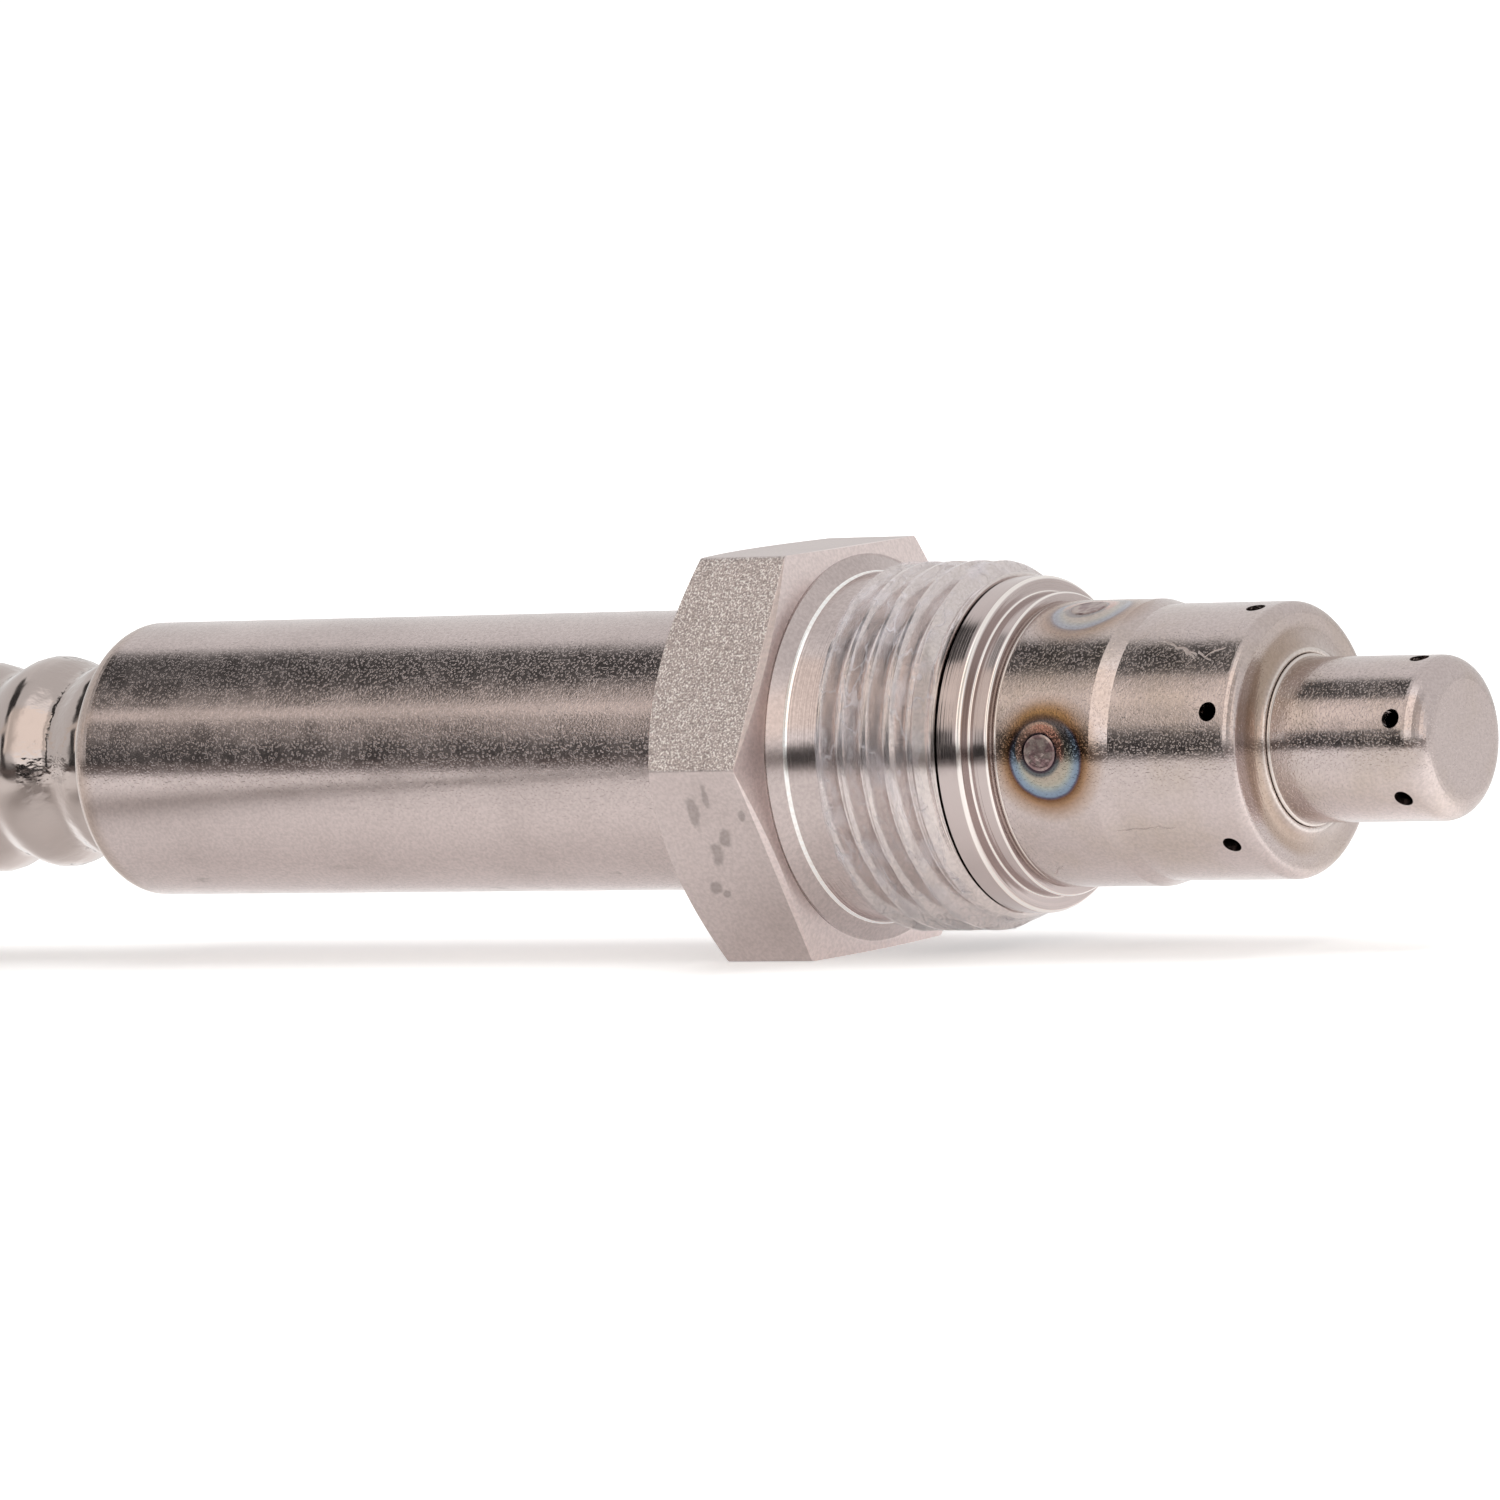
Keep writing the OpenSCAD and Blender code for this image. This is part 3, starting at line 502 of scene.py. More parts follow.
def thread_film(material):
    """Clear film drawn over the thread: it sags a little between the crests."""
    outline = []
    for i in range(FILM_ROWS + 1):
        x = FILM_X[0] + (FILM_X[1] - FILM_X[0]) * i / FILM_ROWS
        outline.append((x, limit_radius(x) + FILM_GAP))
    bm = spun(outline, FILM_STEPS)
    first_crest = THREAD_X[0] - THREAD_PITCH * 1.25 + THREAD_FLANK + THREAD_CREST / 2
    for v in bm.verts:
        turn = math.atan2(v.co.z, -v.co.y) / math.tau
        phase = math.tau * ((v.co.x - first_crest) / THREAD_PITCH + turn)
        sag = FILM_SAG * (0.5 - 0.5 * math.cos(phase))
        wrinkle = FILM_WRINKLE * noise.noise(v.co / FILM_WRINKLE_SIZE)
        set_radius(v, math.hypot(v.co.y, v.co.z) - sag + wrinkle)
    bmesh.ops.recalc_face_normals(bm, faces=bm.faces)
    bmesh.ops.solidify(bm, geom=everything(bm), thickness=FILM_WALL)
    bmesh.ops.recalc_face_normals(bm, faces=bm.faces)
    piece = new_object("thread_film", bm)
    smooth_by_angle(piece, 60)
    dress(piece, material, "nut", "clear_film")


def seat_shell(material):
    """The turned shell, with its seat collar and boss, their edges rounded over."""
    # Profile in millimetres from the rear: body, collar, boss, spigot, and back along the bore
    outline = [(-16.83, 4.4), (-16.83, 7.04), (-4.3, 7.04), (-4.3, 7.69), (4.2, 7.69)]
    outline += [(4.2, 9.02), (4.28, 9.1)]
    outline += arc((5.4, 8.8), 0.3, 90, 0, 8)
    outline += arc((5.84, 8.34), 0.14, 180, 270, 6)
    outline += arc((6.69, 8.04), 0.16, 90, 0, 6)
    outline += [(6.85, 7.16), (12.8, 7.16), (12.8, 5.65), (4.2, 5.65), (4.2, 3.6), (1.8, 3.6)]
    outline += [(0.27, 5.3), (-15.83, 5.3), (-15.83, 4.4)]
    loop = [(x * MM, r * MM) for x, r in outline]
    piece = new_object("seat_shell", closed_turning(loop + loop[:1], TURNED_STEPS))
    smooth_by_angle(piece, 30)
    dress(piece, material, "sensor", "turned_steel", "shell")


def seam_ring(name, x, radius, half_width, material):
    """A thin bead that runs right round the probe, in millimetres."""
    bead = arc((x, radius), half_width, 0, 360, 10)
    loop = [(a * MM, r * MM) for a, r in bead[:-1] + bead[:1]]
    piece = new_object(name, closed_turning(loop, BEAD_STEPS))
    smooth_by_angle(piece, 60)
    dress(piece, material, "sensor", "tube_steel")


def spot_weld(number, degrees, material):
    """A small dished nugget that follows the tube's surface."""
    # Share of the nugget's radius, height in millimetres
    profile = [
        (0.0, 0.02), (0.2, 0.03), (0.4, 0.015), (0.6, 0.03), (0.8, 0.015), (0.93, 0.045),
        (1.0, -0.02), (0.8, -0.08), (0.0, -0.08),
    ]
    bm = bmesh.new()
    points = [bm.verts.new((NUGGET_R * share, 0, height * MM)) for share, height in profile]
    lines = [bm.edges.new(pair) for pair in zip(points, points[1:])]
    bmesh.ops.spin(
        bm, geom=points + lines, cent=(0, 0, 0), axis=(0, 0, 1), dvec=(0, 0, 0),
        angle=math.tau, steps=NUGGET_STEPS, use_merge=True,
    )
    bmesh.ops.remove_doubles(bm, verts=bm.verts, dist=MERGE)
    for v in bm.verts:
        angle = math.radians(degrees) + v.co.y / TUBE_R
        r = TUBE_R + v.co.z
        v.co = (WELD_X + v.co.x, -r * math.cos(angle), r * math.sin(angle))
    face_outwards(bm)
    piece = new_object(f"spot_weld_{number}", bm)
    smooth_by_angle(piece, 60)
    dress(piece, material, "sensor", "tube_steel")


class Nodes:
    """Short ways to add shader nodes to a tree."""

    def __init__(self, tree):
        self.tree = tree

    def node(self, kind, inputs=None, **settings):
        """A new node with its settings, and with its inputs set or linked."""
        made = self.tree.nodes.new("ShaderNode" + kind)
        for key, value in settings.items():
            setattr(made, key, value)
        for key, value in (inputs or {}).items():
            if isinstance(value, bpy.types.NodeSocket):
                self.tree.links.new(value, made.inputs[key])
            else:
                made.inputs[key].default_value = value
        return made

    def maths(self, operation, *values):
        return self.node("Math", dict(enumerate(values)), operation=operation).outputs[0]

    def chain(self, operation, values):
        """The operation between all the values, from the left."""
        total = values[0]
        for value in values[1:]:
            total = self.maths(operation, total, value)
        return total

    def times(self, *values):
        return self.chain("MULTIPLY", values)

    def plus(self, *values):
        return self.chain("ADD", values)

    def minus(self, *values):
        return self.chain("SUBTRACT", values)

    def most(self, *values):
        return self.chain("MAXIMUM", values)

    def length(self, a, b):
        """Length of a line whose sides are a and b."""
        return self.maths("SQRT", self.plus(self.times(a, a), self.times(b, b)))

    def ramp(self, value, low, high, start=0.0, end=1.0):
        """Smooth step of value from low to high, giving start to end."""
        return self.node("MapRange", {
            "Value": value, "From Min": low, "From Max": high, "To Min": start, "To Max": end,
        }, interpolation_type="SMOOTHSTEP").outputs[0]

    def fall(self, value, low, high):
        """One below low, fading to zero at high."""
        return self.ramp(value, low, high, 1.0, 0.0)

    def band(self, value, low, high, blur):
        """One between low and high, fading to zero over blur."""
        rise = self.ramp(value, low - blur, low + blur)
        return self.times(rise, self.fall(value, high - blur, high + blur))

    def mix(self, share, a, b):
        """Colour a, and more of b as the share rises."""
        colours = {6: a, 7: b}
        for key, value in colours.items():
            if not isinstance(value, bpy.types.NodeSocket):
                colours[key] = (*value, 1)
        return self.node("Mix", {0: share, **colours}, data_type="RGBA").outputs[2]


class Finish(Nodes):
    """A material with one Principled shader, placed by object coordinates."""

    def __init__(self, name, colour, metallic=0.0, roughness=0.5):
        self.material = bpy.data.materials.new(name)
        self.material.use_nodes = True
        super().__init__(self.material.node_tree)
        self.shader = self.tree.nodes["Principled BSDF"]
        self.shader.inputs["Base Color"].default_value = (*colour, 1)
        self.shader.inputs["Metallic"].default_value = metallic
        self.shader.inputs["Roughness"].default_value = roughness
        self.place = self.node("TexCoord").outputs["Object"]

    def xyz(self):
        """X, Y and Z of the place."""
        return self.node("SeparateXYZ", {0: self.place}).outputs

    def split(self):
        """X, Y, the radius, and the angle about X in degrees from the front upwards."""
        x, y, z = self.xyz()
        angle = self.times(self.maths("ARCTAN2", z, self.times(y, -1.0)), 180 / math.pi)
        return x, y, self.length(y, z), angle

    def facing_tip(self):
        """How far the surface faces +X, from -1 to 1."""
        turned = self.node("TexCoord").outputs["Normal"]
        return self.node("SeparateXYZ", {0: turned}).outputs[0]

    def grain(self, size, detail=2.0, stretch=(1, 1, 1), rough=0.5):
        """Noise whose features are about size metres across."""
        turned = self.node("Mapping", {"Vector": self.place, "Scale": stretch})
        return self.node("TexNoise", {
            "Vector": turned.outputs[0], "Scale": 0.5 / size, "Detail": detail, "Roughness": rough,
        }).outputs["Fac"]

    def tone(self, colour, grain, amount):
        """The colour, lighter and darker by amount with the grain."""
        share = self.ramp(grain, 0.30, 0.70, 1.0 - amount, 1.0 + amount)
        return self.node("VectorMath", {0: colour, "Scale": share}, operation="SCALE").outputs[0]

    def bump(self, height, depth=1.0):
        """Tilts the surface by a height in metres, times depth."""
        inputs = {"Height": height, "Distance": depth, "Strength": 1.0}
        self.use("Normal", self.node("Bump", inputs).outputs[0])

    def use(self, socket, value):
        self.tree.links.new(value, self.shader.inputs[socket])


def add_stains(f, base, tone, amount):
    """Faint cloudy stains over a base colour."""
    cloud = f.ramp(f.grain(3.5 * MM, 4.0, rough=0.6), 0.40, 0.75)
    return f.mix(f.times(cloud, amount), base, tone)


def sparkle(f, size, depth):
    """Height of a fine ground grain with sharper specks in it."""
    specks = f.ramp(f.grain(size * 1.1, 0.0), 0.58, 0.68)
    return f.times(f.plus(f.times(f.grain(size, 1.0), 0.6), f.times(specks, 1.1)), depth)


def turned_lines(f, x, radius, size):
    """Fine rings left by turning, on cylinders and faces alike."""
    place = f.plus(x, f.times(radius, 0.8))
    inputs = {"W": place, "Scale": 0.5 / size, "Detail": 2.0}
    return f.node("TexNoise", inputs, noise_dimensions="1D").outputs["Fac"]


def sleeve_steel():
    """Ground sleeve: fine sparkling grain, faint stains low down, brown at both ends."""
    f = Finish("ground_sleeve_steel", STEEL, 1.0, 0.2)
    x, _, _, angle = f.split()
    low = f.fall(angle, -62.0, -30.0)
    marks = f.ramp(f.grain(0.9 * MM, 4.0, (0.5, 1, 1), 0.65), 0.60, 0.70)
    ends = f.most(f.ramp(x, -15.2 * MM, -13.2 * MM), f.fall(x, -54.4 * MM, -53.2 * MM))
    base = add_stains(f, STEEL, STEEL_DARK, 0.5)
    base = f.mix(f.times(marks, low, 0.5), base, SLEEVE_STAIN)
    base = f.mix(f.times(ends, 0.55), base, SLEEVE_END)
    f.use("Base Color", f.tone(base, f.grain(0.09 * MM, 1.0), 0.07))
    f.use("Roughness", f.ramp(f.grain(0.8 * MM), 0.3, 0.7, 0.15, 0.21))
    coarser = f.ramp(x, -52 * MM, -28 * MM, 0.55, 1.25)
    f.bump(f.times(sparkle(f, 0.065 * MM, 0.006 * MM), coarser))
    return f.material


def weld_tint(f, base, x, angle, weld_angle, strength):
    """Heat colours, and painted shadow and shade, round one spot weld and the one across from it,
    in millimetres along and up.
    """
    turned = f.plus(f.minus(angle, weld_angle), 90.0)
    folded = f.minus(f.maths("FLOORED_MODULO", turned, 180.0), 90.0)
    up = f.times(folded, math.pi / 180 * TUBE_R / MM)
    along = f.maths("DIVIDE", f.minus(x, WELD_X), MM)

    def distance(du, dv):
        """Uneven distance from a point that lies du along and dv up from the nugget."""
        wobble = f.times(f.minus(f.grain(0.7 * MM), 0.5), 0.16)
        return f.plus(f.length(f.minus(along, du), f.minus(up, dv)), wobble)

    # Rings of straw, blue, brown and then steel
    outer = f.times(distance(0.34, -0.34), 0.88)
    ramp = f.node("ValToRGB", {0: f.maths("DIVIDE", outer, HEAT_REACH)})
    points = ramp.color_ramp.elements
    for point, (place, colour) in zip(points, (HEAT_STOPS[0], HEAT_STOPS[-1])):
        point.position = place / HEAT_REACH
        point.color = (*colour, 1)
    for place, colour in HEAT_STOPS[1:-1]:
        points.new(place / HEAT_REACH).color = (*colour, 1)
    tinted = f.mix(f.ramp(outer, 2.9, 3.4), ramp.outputs[0], base)

    # Brown halo, and a painted shadow above the nugget
    halo = f.times(f.ramp(up, 0.9, 2.2), f.band(distance(0.25, 0.45), 1.3, 2.1, 0.45))
    tinted = f.mix(f.times(halo, 0.8), tinted, HEAT_HALO)
    shade = f.times(f.band(distance(0.14, 0.24), 0.0, 1.86, 0.16), f.ramp(up, -0.1, 0.9))
    tinted = f.mix(f.times(shade, 0.75), tinted, WELD_SHADOW)

    # Pink ring round the nugget, on its upper side and warmer ahead
    pink = distance(0.04, 0.14)
    upper = f.ramp(up, -0.65, -0.25)
    tinted = f.mix(f.times(f.fall(pink, 1.50, 1.60), upper), tinted, HEAT_PALE)
    warm = f.times(upper, f.ramp(along, -0.8, 0.1, 0.35, 1.0))
    tinted = f.mix(f.times(f.fall(pink, 1.34, 1.48), warm), tinted, HEAT_PINK)

    # Dark outline of the nugget, and painted shade below it
    core = distance(0.0, 0.0)
    below = f.times(f.fall(core, 1.22, 1.45), f.fall(up, -0.5, 0.1))
    tinted = f.mix(below, tinted, NUGGET_SHADE)
    tinted = f.mix(f.fall(core, 1.04, 1.18), tinted, NUGGET_OUTLINE)
    return f.mix(strength, base, tinted)


def scratch(f, x, angle, start, end, middle, slope):
    """One fine scratch on the outer tube, from start to end along X, at an angle."""
    along = f.maths("DIVIDE", x, MM)
    wander = f.times(f.minus(f.grain(0.5 * MM, 2.0), 0.5), 5.0)
    line = f.plus(f.times(f.minus(along, start), slope), wander)
    off = f.maths("ABSOLUTE", f.minus(angle, middle, line))
    return f.times(f.fall(off, 0.15, 0.45), f.band(along, start, end, 0.12))


def tube_steel(name, outer):
    """Drawn steel with a fine sparkle. The outer tube also has heat colours and scratches, painted
    shade in the cove of its front face and a painted highlight on its rim.
    """
    f = Finish(name, STEEL, 1.0, 0.2)
    base = add_stains(f, STEEL, TUBE_STAIN, 0.7)
    height = sparkle(f, 0.06 * MM, 0.0055 * MM)
    rough = f.ramp(f.grain(0.6 * MM), 0.3, 0.7, 0.14, 0.20)
    if outer:
        x, y, radius, angle = f.split()
        for weld_angle, strength in zip(WELD_ANGLES[:2], (1.0, 0.55)):
            base = weld_tint(f, base, x, angle, weld_angle, strength)
        marks = f.most(*[scratch(f, x, angle, *ends) for ends in SCRATCHES])
        # Painted shade: the cove of the front face darker and browner on the -Y side
        cove_shade = f.times(
            f.band(radius, 4.95 * MM, 6.10 * MM, 0.3 * MM), f.ramp(x, 21.6 * MM, 21.7 * MM),
            f.fall(y, -2.5 * MM, 2.5 * MM), 0.65,
        )
        base = f.mix(cove_shade, base, TUBE_COVE_SHADE)
        # Painted highlight: a pale line on the rim of the front face
        rim_highlight = f.times(
            f.band(radius, 4.62 * MM, 4.92 * MM, 0.05 * MM), f.ramp(x, 21.9 * MM, 22.0 * MM), 0.35,
        )
        base = f.mix(rim_highlight, base, PAINTED_HIGHLIGHT)
        rough = f.plus(rough, f.times(marks, 0.3))
        height = f.minus(height, f.times(marks, 0.02 * MM))
    f.use("Base Color", f.tone(base, f.grain(0.09 * MM, 1.0), 0.06))
    f.use("Roughness", rough)
    f.bump(height)
    return f.material


def nugget_metal():
    """Uneven, half burnt metal of the spot welds."""
    f = Finish("weld_nugget_metal", (0.30, 0.23, 0.22), 1.0, 0.28)
    burnt = f.ramp(f.grain(0.3 * MM, 3.0), 0.38, 0.62)
    f.use("Base Color", f.mix(burnt, (0.26, 0.17, 0.175), (0.46, 0.38, 0.35)))
    f.bump(f.times(f.grain(0.14 * MM, 3.0), 0.045 * MM))
    return f.material


def smudge_at(f, x, angle, middle, turn, length, width):
    """A soft dark smudge on a hexagon flat and on the one across from it, long in the turn."""
    folded = f.maths("FLOORED_MODULO", angle, 180.0)
    along = f.maths("DIVIDE", f.minus(f.maths("DIVIDE", x, MM), middle), width / 2)
    across = f.maths("DIVIDE", f.minus(folded, turn), length / 2)
    skewed = f.plus(along, f.times(across, -0.5))
    ragged = f.plus(f.length(skewed, across), f.times(f.grain(0.35 * MM, 2.0), 1.4))
    return f.fall(ragged, 1.3, 1.95)


def nut_steel():
    """Turned and bright, with blasted hexagon flats: one pair coarse, the others smoother."""
    f = Finish("turned_nut_steel", STEEL, 1.0, 0.2)
    x, _, radius, angle = f.split()
    beyond_neck = f.ramp(radius, STEP_R - 0.10 * MM, STEP_R - 0.04 * MM)
    flats = f.times(beyond_neck, f.fall(x, STEP_X, STEP_X + 0.1 * MM))
    front = f.ramp(x, HEX_FRONT_X - 0.03 * MM, HEX_FRONT_X + 0.02 * MM)
    turned = f.minus(1.0, flats)
    sector = f.maths("FLOORED_MODULO", angle, 180.0)
    coarse = f.times(flats, f.minus(1.0, front), f.band(sector, 0.0, 60.0, 0.6))
    pits = f.grain(0.055 * MM, 1.0)
    fine = f.grain(0.10 * MM, 3.0)
    lines = turned_lines(f, x, radius, 0.05 * MM)
    f.bump(f.plus(
        f.times(pits, coarse, 0.05 * MM), f.times(fine, flats, 0.014 * MM),
        f.times(lines, turned, 0.006 * MM),
    ))
    f.use("Roughness", f.plus(f.times(flats, 0.16), 0.17))

    # Painted highlight: the front chamfer paler, for the light that it mirrors. The thread paler
    # too, and smudges on the lower pair of flats.
    base = add_stains(f, STEEL, STEEL_DARK, 0.45)
    base = f.mix(f.times(flats, front), base, NUT_CHAMFER_HIGHLIGHT)
    paler = f.ramp(x, THREAD_X[0] - 0.3 * MM, THREAD_X[0], 0.0, 0.3)
    base = f.mix(paler, base, PAINTED_HIGHLIGHT)
    lower = f.times(flats, f.band(sector, 120.0, 180.0, 0.6))
    smudge = f.most(*[smudge_at(f, x, angle, *spot) for spot in SMUDGES])
    base = f.mix(f.times(smudge, lower, 0.6), base, NUT_SMUDGE)

    # Painted highlight: a white line round the root of the neck
    root_highlight = f.times(
        f.band(f.facing_tip(), 0.22, 0.70, 0.04), f.fall(x, -4.0 * MM, -3.8 * MM), turned,
        f.ramp(x, STEP_X, STEP_X + 0.1 * MM),
    )
    base = f.mix(root_highlight, base, NUT_ROOT_HIGHLIGHT)

    # Painted glints on the bright points, and painted shade in the hollows, of the coarse flats
    glint = f.times(f.ramp(pits, 0.52, 0.64), coarse, 0.85)
    base = f.mix(glint, base, NUT_GLINT)
    pit_shade = f.times(f.fall(pits, 0.34, 0.46), coarse, 0.6)
    base = f.mix(pit_shade, base, NUT_PIT_SHADE)
    f.use("Base Color", f.tone(base, fine, 0.08))
    return f.material


def shell_steel():
    """Bright turned steel, with painted highlights where an edge is rounded towards the tip."""
    f = Finish("turned_shell_steel", STEEL, 1.0, 0.14)
    x, _, radius, _ = f.split()
    # Painted highlight: the base colour turns near white where a rounded edge faces the tip
    edge = f.times(f.band(f.facing_tip(), 0.30, 0.90, 0.08), 0.85)
    f.use("Base Color", f.mix(edge, add_stains(f, STEEL, STEEL_DARK, 0.4), PAINTED_HIGHLIGHT))
    f.use("Roughness", f.ramp(f.grain(0.3 * MM), 0.3, 0.7, 0.12, 0.18))
    f.bump(f.times(turned_lines(f, x, radius, 0.07 * MM), 0.007 * MM))
    return f.material


def film_clear():
    """Clear wrinkled film with milky creases."""
    f = Finish("clear_film", (0.80, 0.78, 0.84), 0.0, 0.14)
    creases = f.ramp(f.grain(0.8 * MM, 3.0, (1.2, 0.7, 0.7), 0.6), 0.46, 0.66)
    away = f.maths("ABSOLUTE", f.minus(f.grain(1.1 * MM, 2.0, (1.5, 0.6, 0.6)), 0.5))
    folds = f.fall(away, 0.004, 0.014)
    f.use("Alpha", f.plus(f.times(creases, 0.14), f.times(folds, 0.15), 0.05))
    height = f.plus(f.grain(0.5 * MM, 3.0, (1.3, 0.6, 0.6)), f.times(folds, 0.25))
    f.bump(f.times(height, 0.16 * MM))
    return f.material


def conduit_steel():
    """Bright strip with soft dents, and a crumpled crease beside the sleeve."""
    f = Finish("bright_conduit_steel", (0.50, 0.435, 0.41), 1.0, 0.08)
    near = f.band(f.xyz()[0], -60.2 * MM, -56.5 * MM, 0.5 * MM)
    creases = f.times(f.grain(0.5 * MM, 3.0, (0.6, 1, 1), 0.55), near, 0.10 * MM)
    dents = f.times(f.grain(1.8 * MM, 2.0), 0.16 * MM)
    f.bump(f.plus(dents, creases))
    f.use("Roughness", f.ramp(f.grain(0.5 * MM), 0.3, 0.7, 0.08, 0.18))
    return f.material


def plain_finish(name, colour, roughness, metallic=0.0, grain=0.3 * MM, depth=0.01 * MM):
    """A finish with a fine grain and slight changes of tone."""
    f = Finish(name, colour, metallic, roughness)
    darker = tuple(c * 0.85 for c in colour)
    f.use("Base Color", f.mix(f.ramp(f.grain(4 * MM, 3.0), 0.35, 0.65), colour, darker))
    fine = f.grain(grain)
    f.use("Roughness", f.ramp(fine, 0.3, 0.7, max(roughness - 0.08, 0.03), roughness + 0.08))
    f.bump(fine, depth)
    return f.material


def dress_cad_nodes():
    """Materials of the CAD nodes that are shown as they are."""
    ceramic = plain_finish("fired_ceramic", (0.86, 0.83, 0.76), 0.55)
    rubber = plain_finish("moulded_rubber", (0.03, 0.03, 0.032), 0.6)
    plated = plain_finish("plated_steel", (0.52, 0.51, 0.49), 0.35, 1.0)
    gold = plain_finish("contact_plating", (0.83, 0.66, 0.33), 0.28, 1.0)
    finishes = {
        "outer_tube": tube_steel("drawn_tube_steel", True),
        "inner_tube": tube_steel("drawn_nose_steel", False),
        "rear_sleeve": sleeve_steel(),
        "sensing_element": plain_finish("sintered_zirconia", (0.80, 0.79, 0.74), 0.5),
        "front_ceramic": ceramic, "rear_ceramic": ceramic,
        "contact_block_front": ceramic, "contact_block_rear": ceramic,
        "talc_ring": plain_finish("pressed_talc", (0.62, 0.60, 0.54), 0.9),
        "packing_ring": plated, "retaining_spring": plated,
        "terminal_clips": gold, "connector_pins": gold,
        "lead_wires": plain_finish("lead_insulation", (0.75, 0.75, 0.71), 0.4),
        "seal_plug": rubber, "gland_seal": rubber, "base_gasket": rubber,
        "gland_nut": plated, "base_screws": plated, "ear_bushes": plated,
        "unit_housing": plain_finish("moulded_nylon", (0.018, 0.018, 0.020), 0.5, grain=0.35 * MM),
        "base_plate": plain_finish("satin_aluminium", (0.66, 0.67, 0.68), 0.4, 1.0),
        "circuit_board": plain_finish("solder_mask", (0.02, 0.15, 0.06), 0.3),
        "board_components": plain_finish("moulded_epoxy", (0.03, 0.03, 0.033), 0.45),
    }
    for node, material in finishes.items():
        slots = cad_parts[node].material_slots
        if not slots:
            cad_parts[node].data.materials.append(material)
        for slot in slots:
            slot.material = material


def ground():
    """Pale floor that is white to the eye and keeps the shadow. In the metal it is painted: dark
    away from the object, and glowing near it, under it and towards -X.
    """
    bm = bmesh.new()
    bmesh.ops.create_grid(bm, x_segments=1, y_segments=1, size=FLOOR_SIZE / 2)
    bmesh.ops.translate(bm, verts=bm.verts, vec=(0, 0, FLOOR_Z - FLOOR_DROP))
    floor = new_object("floor", bm)
    f = Finish("pale_floor", FLOOR_PALE, 0.0, 0.9)
    f.shader.inputs["Specular IOR Level"].default_value = 0
    f.shader.inputs["Emission Color"].default_value = (1, 1, 1, 1)
    rays = f.node("LightPath").outputs
    glossy = rays["Is Glossy Ray"]
    x, y, _ = f.xyz()
    ahead = f.times(f.ramp(x, 90 * MM, 130 * MM), f.fall(y, 0, 40 * MM))
    behind = f.ramp(y, 20 * MM, 50 * MM, 1.0, 0.82)
    near = f.times(f.ramp(y, -102 * MM, -58 * MM), f.minus(1.0, ahead), behind)
    under = f.times(f.ramp(y, -22 * MM, 4 * MM, 0.0, 1.2), f.fall(y, 3 * MM, 16 * MM))
    rear = f.times(f.ramp(x, -85 * MM, -62 * MM, 0.25, 0.0), near)
    # Painted light: the floor glows only in reflections, near the object, most under it and
    # towards -X, to lift the shadows that the metal mirrors
    bright = f.times(glossy, f.plus(f.times(near, 0.1), under, rear))
    seen = f.most(rays["Is Camera Ray"], bright, rays["Is Transmission Ray"])
    f.use("Emission Strength", f.times(seen, 0.40))
    # Painted reflection: the floor turns dark only in reflections, away from the object
    dim = f.times(glossy, f.minus(1.0, near))
    f.use("Base Color", f.mix(dim, FLOOR_PALE, FLOOR_PAINTED_REFLECTION))
    floor.data.materials.append(f.material)


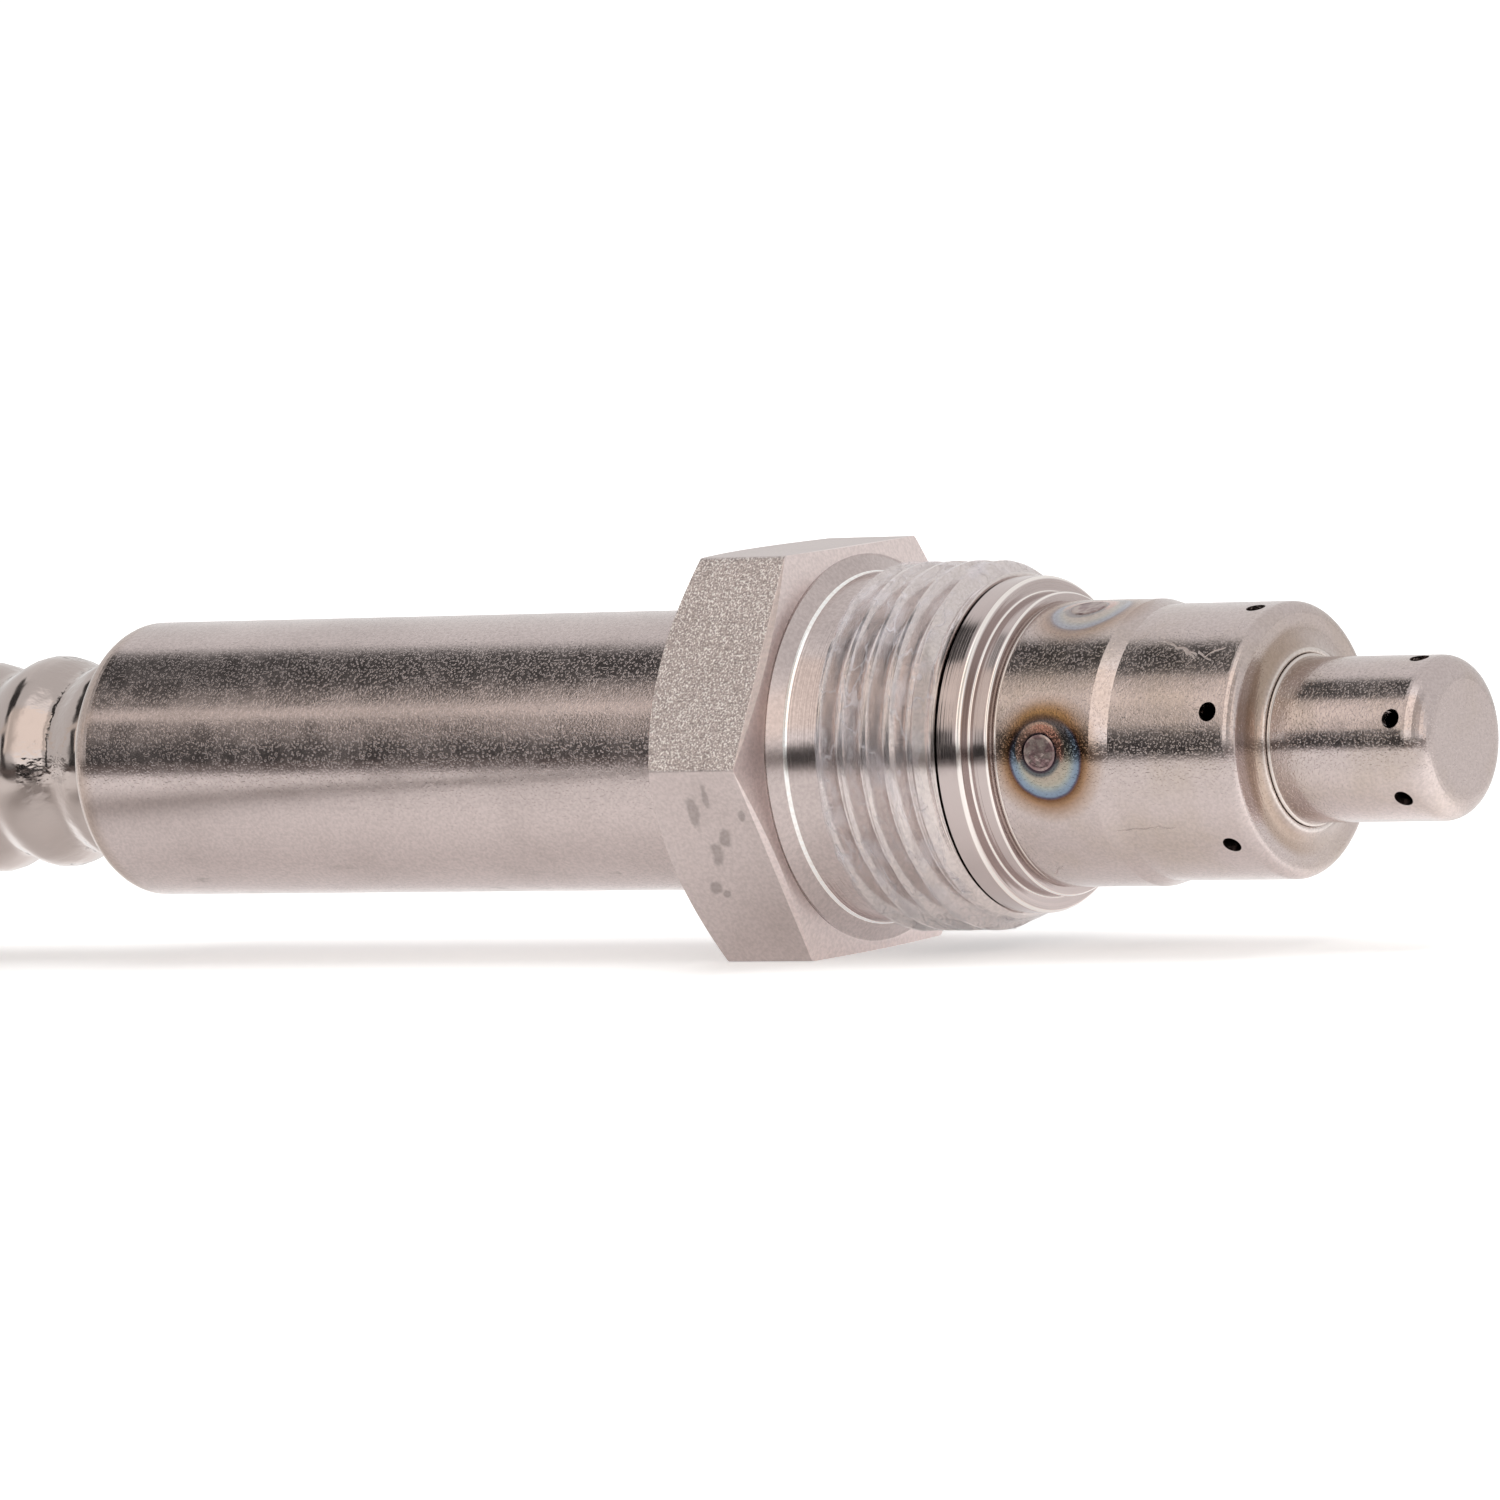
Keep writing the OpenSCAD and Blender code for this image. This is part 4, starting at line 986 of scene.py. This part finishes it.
def studio():
    """Soft studio, by direction.

    The sides of the sleeve and the tubes mirror a dark room with a bright roof and back and a
    warm strip in front. All else mirrors a pale tent that is brighter above the horizon.
    """
    world = bpy.data.worlds.new("studio")
    bpy.context.scene.world = world
    world.use_nodes = True
    f = Nodes(world.node_tree)
    f.tree.nodes.clear()
    x, y, z = f.node("SeparateXYZ", {0: f.node("TexCoord").outputs["Generated"]}).outputs
    # Angle about X in degrees, from the front upwards
    angle = f.times(f.maths("ARCTAN2", z, f.times(y, -1.0)), 180 / math.pi)
    back = f.fall(angle, -10, 0)

    zone = f.times(f.ramp(x, -0.72, -0.66), f.fall(x, -0.49, -0.43))
    strip_low = f.ramp(x, -0.575, -0.540, 37.0, 16.0)
    strip_top = f.ramp(x, -0.585, -0.53, 47.0, 63.0)
    above_low = f.ramp(f.minus(angle, strip_low), -3, 3)
    strip = f.times(above_low, f.fall(f.minus(angle, strip_top), -3, 3))
    strip_level = f.ramp(x, SLEEVE_VIEW, TUBE_VIEW, 0.74, 1.12)
    roof_edge = f.ramp(x, SLEEVE_VIEW, TUBE_VIEW, 103.0, 90.0)
    roof = f.ramp(f.minus(angle, roof_edge), 0, 11)
    room = f.plus(f.times(strip, strip_level), f.times(f.most(roof, back), 0.85), 0.055)

    tent = f.plus(f.times(f.ramp(angle, 2, 7), 0.62), 0.22)
    tent = f.most(tent, f.times(back, 0.84))
    front = f.times(f.ramp(angle, 4, 9), f.fall(angle, 58, 90))
    glow = f.times(f.ramp(x, -0.36, -0.16), f.fall(x, 0.20, 0.36))
    shade = f.times(f.ramp(x, 0.34, 0.46), f.fall(x, 0.66, 0.78))
    tip_side = f.ramp(x, 0.80, 0.92)
    change = f.plus(f.minus(f.times(glow, 0.60), f.times(shade, 0.25)), f.times(tip_side, 0.45))
    tent = f.plus(tent, f.times(front, change))

    strength = f.node("Mix", {0: zone, 2: tent, 3: room}).outputs[0]
    colour = f.mix(strip, WHITE_LIGHT, WARM_LIGHT)
    background = f.node("Background", {"Color": colour, "Strength": strength})
    f.tree.links.new(background.outputs[0], f.node("OutputWorld").inputs[0])


def lamp():
    """Large soft lamp overhead, which draws the shadow and isn't mirrored."""
    data = bpy.data.lights.new("overhead", "AREA")
    data.shape = "RECTANGLE"
    data.size, data.size_y = LAMP_SIZE
    data.energy = LAMP_WATTS
    light = bpy.data.objects.new("overhead", data)
    turn = (LAMP_AIM - LAMP_AT).to_track_quat("-Z", "Y")
    light.matrix_world = Matrix.Translation(LAMP_AT) @ turn.to_matrix().to_4x4()
    light.visible_camera = False
    light.visible_glossy = False
    bpy.context.collection.objects.link(light)


bpy.context.scene.view_settings.view_transform = "Standard"
camera()
conduit(conduit_steel())
union_nut(nut_steel())
thread_film(film_clear())
seat_shell(shell_steel())
bead_steel = plain_finish(
    "bright_bead_steel", (0.74, 0.67, 0.63), 0.22, 1.0, grain=0.2 * MM, depth=0.004 * MM,
)
seam_ring("root_bead", 6.98, 7.52, 0.14, bead_steel)
seam_ring("nose_bead", 22.24, 4.49, 0.13, bead_steel)
nugget = nugget_metal()
for number, degrees in enumerate(WELD_ANGLES, 1):
    spot_weld(number, degrees, nugget)
dress_cad_nodes()
ground()
studio()
lamp()
